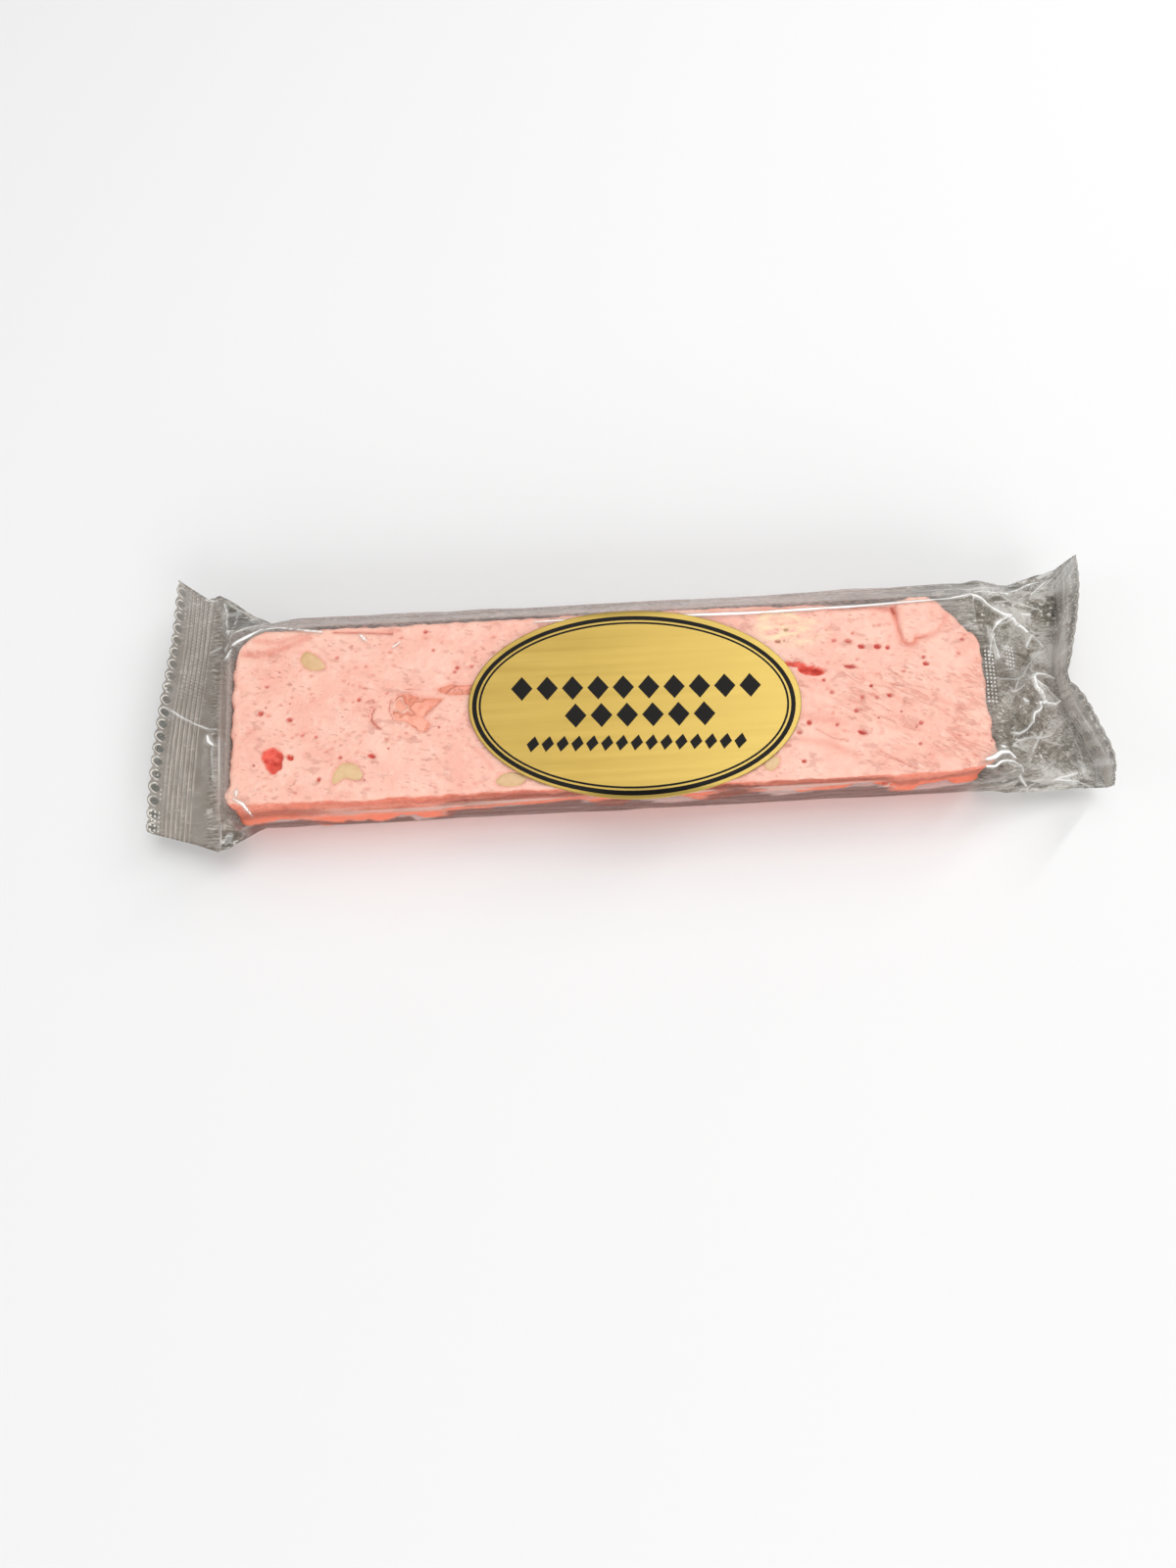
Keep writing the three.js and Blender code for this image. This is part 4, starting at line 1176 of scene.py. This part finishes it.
def film_finish():
    """Clear glossy film. Where it is slack it is grey, in facets of different tone with fine streaks along
    the pack, and its creases are white lines of painted highlight with a painted sheen beside them, among
    scattered painted glints. The seals have ridges, rows of studs, and dark bumps inside a pale scalloped
    line along the toothed edge: they follow the distance from the cut edge and the place across the film, in
    millimetres. The pale ridges, scalloped line and studs are painted highlights. The studs of the lengthwise
    seam show on it as rows of bright dots, painted glints. Painted shade and reflections lie on it too."""
    material, shader, add, join = new_material("clear_film")
    place = object_place(add)
    grey_mask, seal_mask, brown_shade_and_tint_mask = [mask_of(add, name) for name in ("grey", "seal", "brown_shade_and_tint")]
    edge = mask_of(add, "from_cut") * cut_range
    width = mask_of(add, "across") * film_width
    brushed = stretched(place, 0, 3.3)
    streak = (mottle(brushed, 2900.0, 2.0, 0.3, 0.7) - 0.5) * (1.0 - seal_mask)
    shift = streak * 0.5 + mottle(place, 330.0, 3.0, 0.3, 0.7) * 0.12
    level = mask_of(add, "tone") + (shift - 0.04)
    colour = level.between(0.1, 0.55).blend(paint(80, 76, 66), paint(140, 133, 119))
    colour = level.between(0.5, 1.1).blend(colour, paint(240, 238, 231))

    # Glints: short white dashes on the slack film, painted highlights.
    glints = mottle(brushed, 1500.0, 1.0, 0.59, 0.66) * mottle(place, 230.0, 1.0, 0.45, 0.58) * grey_mask
    glints = glints * (1.0 - (seal_mask * 0.75).largest(brown_shade_and_tint_mask))

    across_edge = Wire(add, add("ShaderNodeCombineXYZ", at_0=edge, at_1=width * 0.25).outputs[0])
    # The seals' ridges are painted pale: painted highlights on the crimp.
    ridges = stripes(edge - ridges_from, ridge_pitch, 0.42)
    zone = edge.between(ridges_from, ridges_from + 0.2) * edge.between(ridges_to, ridges_to - 0.2)
    ridges = ridges * zone * seal_mask * mottle(across_edge, 1.1, 2.0, 0.25, 0.6)
    knurled_half = width.between(26.0, 31.0)
    dot_pitch, bead_pitch = 0.8, 0.95
    dots = stripes(width, dot_pitch, 0.6) * knurled_half
    ridges = ridges * (1.0 - knurled_half * 0.85).largest(dots)

    bump_from_edge, bump_width = 1.5, 0.85
    beside = ((width / tooth_pitch).fraction() - 0.5) * (tooth_pitch / bump_width)
    beyond = edge - bump_from_edge
    from_bump = (beside * beside + beyond * beyond).root()
    bumps = from_bump.between(1.0, 0.75) * seal_mask * (1.0 - knurled_half * 0.4)
    # The scalloped line and the rows of beads by the cut edge are painted pale: painted highlights.
    scallop = abs(from_bump - 1.16).between(0.2, 0.06) * edge.between(1.9, 1.5)
    beads = stripes(edge, stud_row_pitch, 0.6) * stripes(width, bead_pitch, 0.6) * edge.between(2.9, 2.6)
    beads = beads * mottle(across_edge, 0.35, 1.0, 0.54, 0.6).largest(width.between(5.5, 5.0))
    edge_highlights = (scallop * mottle(across_edge, 0.9, 2.0, 0.2, 0.5)).largest(beads)
    edge_highlights = edge_highlights * seal_mask.between(0.1, 0.5)

    # The seam's studs as bright dots: painted glints.
    at_x, at_y = [Wire(add, socket) for socket in add("ShaderNodeSeparateXYZ", at_Vector=place).outputs[:2]]
    column = at_x - at_y * column_lean
    knurl_glint_dots = stripes(column, seam_stud_pitch * mm, 0.7) * stripes(at_y, seam_stud_pitch * mm, 0.7)
    knurl_glint_dots = knurl_glint_dots * mask_of(add, "knurl_glints")

    # A painted sheen: a soft glow of painted light beside each crease.
    reach = mask_of(add, "line_reach") * reach_limit
    sheen = reach.between(5.0, 1.0) * mask_of(add, "line_strength")
    sheen = sheen * sheen * 0.7

    cover = grey_mask * (0.84 - level * 0.22)
    # Over the tone: painted brown shade and reflection, painted reflection, dark bumps, and painted
    # highlights.
    for mask, shade, strength in [
        (brown_shade_and_tint_mask, paint(96, 54, 42), 0.8), (mask_of(add, "painted_reflection"), paint(212, 174, 160), 0.8),
        (bumps, paint(96, 94, 84), 0.42), (glints, paint(238, 234, 226), 0.7),
        (ridges, paint(214, 200, 188), 0.5), (edge_highlights, paint(240, 236, 228), 0.9),
        (knurl_glint_dots, paint(255, 255, 250), 0.97), (sheen, paint(232, 229, 222), 0.6),
        (drawn_lines(add, 0.7, 1.2), paint(255, 255, 253), 0.98),
    ]:
        colour = mask.blend(colour, shade)
        cover = cover.largest(mask * strength)
    join(shader.inputs["Base Color"], colour)
    join(shader.inputs["Alpha"], cover.math("ADD", cover, 0.03, clamp=True))
    shader.inputs["Roughness"].default_value = 0.14
    shader.inputs["IOR"].default_value = 1.4
    join(shader.inputs["Coat Weight"], (1.0 - brown_shade_and_tint_mask) * 0.6)
    shader.inputs["Coat Roughness"].default_value = 0.06
    relief = mottle(brushed, 900.0, 2.0) + mottle(place, 520.0, 2.0) + ridges * 0.5
    relief = relief * (grey_mask * 0.7 + 0.3)
    bump = add("ShaderNodeBump", at_Strength=0.5, at_Distance=0.0003, at_Height=relief)
    join(shader.inputs["Normal"], bump.outputs[0])
    return material


def tube_faces(rings, around, first_run):
    """Quads between neighbouring rings, and at both ends a strip that joins the ring's first run of points to
    the rest of it, which comes back the other way."""
    r, c = np.meshgrid(np.arange(rings - 1), np.arange(around), indexing="ij")
    here, beside = r * around + c, r * around + (c + 1) % around
    quads = np.stack([here, beside, beside + around, here + around], -1).reshape(-1, 4).tolist()
    one = np.arange(first_run)
    other = around - 1 - np.round(np.linspace(0, around - first_run - 1, first_run)).astype(int)
    slanting = np.stack([one[:-1], one[1:], other[:-1]], -1)
    moved = other[1:] != other[:-1]
    closing = np.stack([one[1:], other[1:], other[:-1]], -1)[moved]
    strip = np.vstack([slanting, closing])
    return quads + strip[:, ::-1].tolist() + (strip + (rings - 1) * around).tolist()


seal = np.maximum(ramp(row, left_seal_rows + 8, left_seal_rows + 3), 0.55 * right_seal) + 0 * x
film_masks = {
    "grey": grey, "tone": 0.5 + 0.5 * tone, "painted_reflection": painted_reflection, "brown_shade_and_tint": brown_shade_and_tint, "seal": seal, "knurl_glints": knurl_glints,
    "line_reach": film_highlight_lines.reach / reach_limit, "line_strength": film_highlight_lines.strength,
    "from_cut": from_cut / cut_range, "across": share_across[None, :] + 0 * x,
}
wrapper = new_piece("film_wrapper", film, tube_faces(*film.shape[:2], upper_columns), film_masks)
clear_film = film_finish()
wrapper.data.materials.append(clear_film)
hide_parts("film_pack")

# The lengthwise seam: the film's two edges, pressed together by knurling wheels and folded flat under the
# pack. Its rows of studs show through the slack film beyond the bar.
seam_front, seam_back = -2.5, 10.5
seam_left, seam_right = -72.0, 86.0
seam_thickness = 0.2
lap_y, lap_half_width = 3.5, 0.16

seam_x = np.arange(seam_left, seam_right, seam_stud_pitch / 3)
seam_y = np.arange(seam_front, seam_back, seam_stud_pitch / 3)
plan_x, plan_y = np.meshgrid(seam_x, seam_y, indexing="ij")
wave = np.cos(2 * np.pi * plan_x / seam_stud_pitch) + np.cos(2 * np.pi * plan_y / seam_stud_pitch)
stud = np.clip(wave, 0, 2) / 2
stud *= ramp(plan_y, seam_front + 0.5, seam_front + 1) * ramp(plan_y, seam_back - 0.6, seam_back - 1.1)
lap = np.exp(-(((plan_y - lap_y) / 0.2) ** 2))
seam_top = np.dstack([plan_x, plan_y, 0.04 + seam_thickness + 0.12 * stud + 0.1 * lap])
seam_under = np.dstack([plan_x, plan_y, np.full(plan_x.shape, 0.02)])
seam = np.concatenate([seam_top, seam_under[:, ::-1]], axis=1)
none = np.zeros(seam.shape[:2])
# On the seam its studs are painted as white dots and its lap as a white line: painted glints.
seam_masks = {
    "grey": none + 0.12, "tone": none + 0.5, "painted_reflection": none, "brown_shade_and_tint": none, "seal": none, "knurl_glints": none + 0.5,
    "line_reach": np.minimum(1, np.abs(seam[..., 1] - lap_y) / (lap_half_width * reach_limit)),
    "line_strength": none + 0.7, "from_cut": none + 1, "across": none,
}
lengthwise_seam = ring_piece("film_seam", seam, seam_masks)
lengthwise_seam.data.materials.append(clear_film)
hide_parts("film_pack")

# The label: an oval of gold foil on paper, stuck on the film a little askew. It is printed in black with a
# thick and a thin ring, and with three rows of plain ornaments.
label_length, label_width = 63.5, 38.1
label_centre = (4.9, -0.65)
label_turn = -2.0
label_low = film_high + 0.1
label_thickness = 0.15

label_angle = np.linspace(0, 2 * np.pi, 241)[:-1]
label_share = np.r_[np.linspace(0.02, 0.86, 24), np.linspace(0.87, 1, 22)]
print_x = np.outer(label_share, np.cos(label_angle)) * label_length / 2
print_y = np.outer(label_share, np.sin(label_angle)) * label_width / 2
turn = math.radians(label_turn)
label_x = label_centre[0] + print_x * math.cos(turn) - print_y * math.sin(turn)
label_y = label_centre[1] + print_x * math.sin(turn) + print_y * math.cos(turn)
past_edge = np.maximum(0, np.abs(label_y) - bar_half_width + 0.6)
label_plan = np.dstack([label_x, label_y, np.zeros(label_x.shape)])
label_z = label_low - past_edge**2 / 10 + 0.05 * crumb(label_plan, 9, 51) + 0.02 * crumb(label_plan, 3, 52)
label_top = np.dstack([label_x, label_y, label_z + label_thickness])
label_under = np.dstack([label_x, label_y, label_z])
label_grid = np.concatenate([label_top, label_under[::-1]])


def foil_finish():
    """Satin gold foil with fine streaks along it, painted paler towards the label's right side as painted
    light, under black printing. The print's own place on the label is in millimetres in the attributes
    print_x and print_y, which hold it as a share of the label's size."""
    material, shader, add, join = new_material("gold_foil")
    place = object_place(add)
    u = (mask_of(add, "print_x") - 0.5) * label_length
    v = (mask_of(add, "print_y") - 0.5) * label_width

    def oval(centre, radii):
        """1 inside an oval of the print and 0 outside."""
        across_x, across_y = (u - centre[0]) / radii[0], (v - centre[1]) / radii[1]
        return (across_x**2.0 + across_y**2.0).below(1.0)

    def ring(outer, thickness):
        """An oval ring of even thickness, at a distance inside the label's edge."""
        centre = (-0.2, -0.25)
        radii = (label_length / 2 - outer, label_width / 2 - outer)
        return oval(centre, radii) - oval(centre, (radii[0] - thickness, radii[1] - thickness))

    def lozenges(centre, length, height, count, lean):
        """A row of lozenges: in each of its equal fields, a point is black where its distances from the
        field's middle, as shares of the lozenge's half length and half height, add up to less than 1."""
        over = v - centre[1]
        along_row = u - (centre[0] - length / 2) - over * lean
        field = abs((along_row / (length / count)).fraction() - 0.5)
        mark = (field * 2.35 + abs(over / (height / 2))).below(1.0)
        return mark * abs(along_row - length / 2).below(length / 2)

    printed = [
        ring(0.9, 0.88), ring(2.15, 0.42),
        lozenges((0.3, 3.1), 48.6, 4.9, 10, 0.0),
        lozenges((0.9, -2.5), 29.4, 4.9, 6, 0.0),
        lozenges((0.1, -8.1), 42.0, 3.2, 15, 0.25),
    ]
    ink = printed[0]
    for part in printed[1:]:
        ink = ink.math("ADD", ink, part, clamp=True)
    streaks = Wire(add, add("ShaderNodeMapping", at_Vector=place, at_Scale=(30.0, 900.0, 30.0)).outputs[0])
    streak = mottle(streaks, 1.0, 4.0)
    gold = streak.blend(paint(180, 153, 84), paint(155, 127, 58))
    gold = mottle(place, 45.0).blend(gold, paint(171, 145, 74))
    # Paler towards the right: painted light, as if the lamp lit that side more.
    gold = mask_of(add, "print_x").between(0.35, 1.1).blend(gold, paint(194, 168, 92))
    join(shader.inputs["Base Color"], ink.blend(gold, paint(12, 9, 5)))
    join(shader.inputs["Metallic"], (1.0 - ink) * 0.6)
    join(shader.inputs["Roughness"], streak * 0.12 + 0.34)
    shader.inputs["Specular IOR Level"].default_value = 0.12
    bump = add("ShaderNodeBump", at_Strength=0.08, at_Distance=0.0002, at_Height=streak)
    join(shader.inputs["Normal"], bump.outputs[0])
    return material


print_place = {
    "print_x": np.concatenate([print_x, print_x[::-1]]) / label_length + 0.5,
    "print_y": np.concatenate([print_y, print_y[::-1]]) / label_width + 0.5,
}
foil_label = ring_piece("foil_label", label_grid, print_place)
foil_label.data.materials.append(foil_finish())
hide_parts("label")

# The table: a wide pale sheet under the pack, which isn't part of it.
table_half = 1500.0
table_corners = table_half * np.array([(-1, -1, 0), (1, -1, 0), (1, 1, 0), (-1, 1, 0)])
table = new_piece("table", table_corners, [[0, 1, 2, 3]])
table_paper, table_shader, _, _ = new_material("table_paper")
table_shader.inputs["Base Color"].default_value = (0.86, 0.86, 0.86, 1.0)
table_shader.inputs["Roughness"].default_value = 0.9
table.data.materials.append(table_paper)

# Studio light: a large soft light above and behind, a wide one in front, a fill light at the left, a narrow
# one whose reflection glints on the film, and an even pale surrounding.


def soft_light(name, place, aim, size, power):
    """A rectangular light of a size in metres at a place, turned towards a point."""
    lamp = bpy.data.lights.new(name, "AREA")
    lamp.shape = "RECTANGLE"
    lamp.size, lamp.size_y = size
    lamp.energy = power
    holder = bpy.data.objects.new(name, lamp)
    back = np.array(place, float) - np.array(aim, float)
    holder.location = place
    holder.rotation_euler = (math.atan2(math.hypot(back[0], back[1]), back[2]), 0,
                             math.atan2(back[0], -back[1]))
    bpy.context.scene.collection.objects.link(holder)
    return holder


soft_light("light_above", (0.08, 0.2, 0.75), (0, 0, 0), (0.6, 0.5), 2.7)
soft_light("light_front", (0.15, -0.75, 0.36), (0, 0, 0), (0.8, 0.4), 3.6)
soft_light("light_left", (-0.6, -0.1, 0.35), (0, 0, 0), (0.4, 0.4), 0.6)
soft_light("light_glint", (0.45, 0.4, 0.45), (0.05, 0, 0), (0.06, 0.4), 1.3)
world = bpy.data.worlds.new("surroundings")
world.use_nodes = True
world.node_tree.nodes["Background"].inputs["Color"].default_value = (1.0, 1.0, 1.0, 1.0)
world.node_tree.nodes["Background"].inputs["Strength"].default_value = 0.36
bpy.context.scene.world = world
bpy.context.scene.view_settings.view_transform = "Standard"

# The camera looks steeply down from in front of the pack, turned a little to its right.
camera_place = (-8.17, -76.36, 218.7)
camera_pitch, camera_turn = 73.5, 3.1
sensor = 36.0
lens_pixels, frame_pixels = 1156.0, 1600.0
camera_data = bpy.data.cameras.new("camera")
camera_data.sensor_width = sensor
camera_data.lens = lens_pixels / frame_pixels * sensor
camera_data.clip_start = 0.01
camera = bpy.data.objects.new("camera", camera_data)
camera.location = np.array(camera_place) * mm
camera.rotation_euler = (math.radians(90 - camera_pitch), 0, math.radians(-camera_turn))
bpy.context.scene.collection.objects.link(camera)
bpy.context.scene.camera = camera
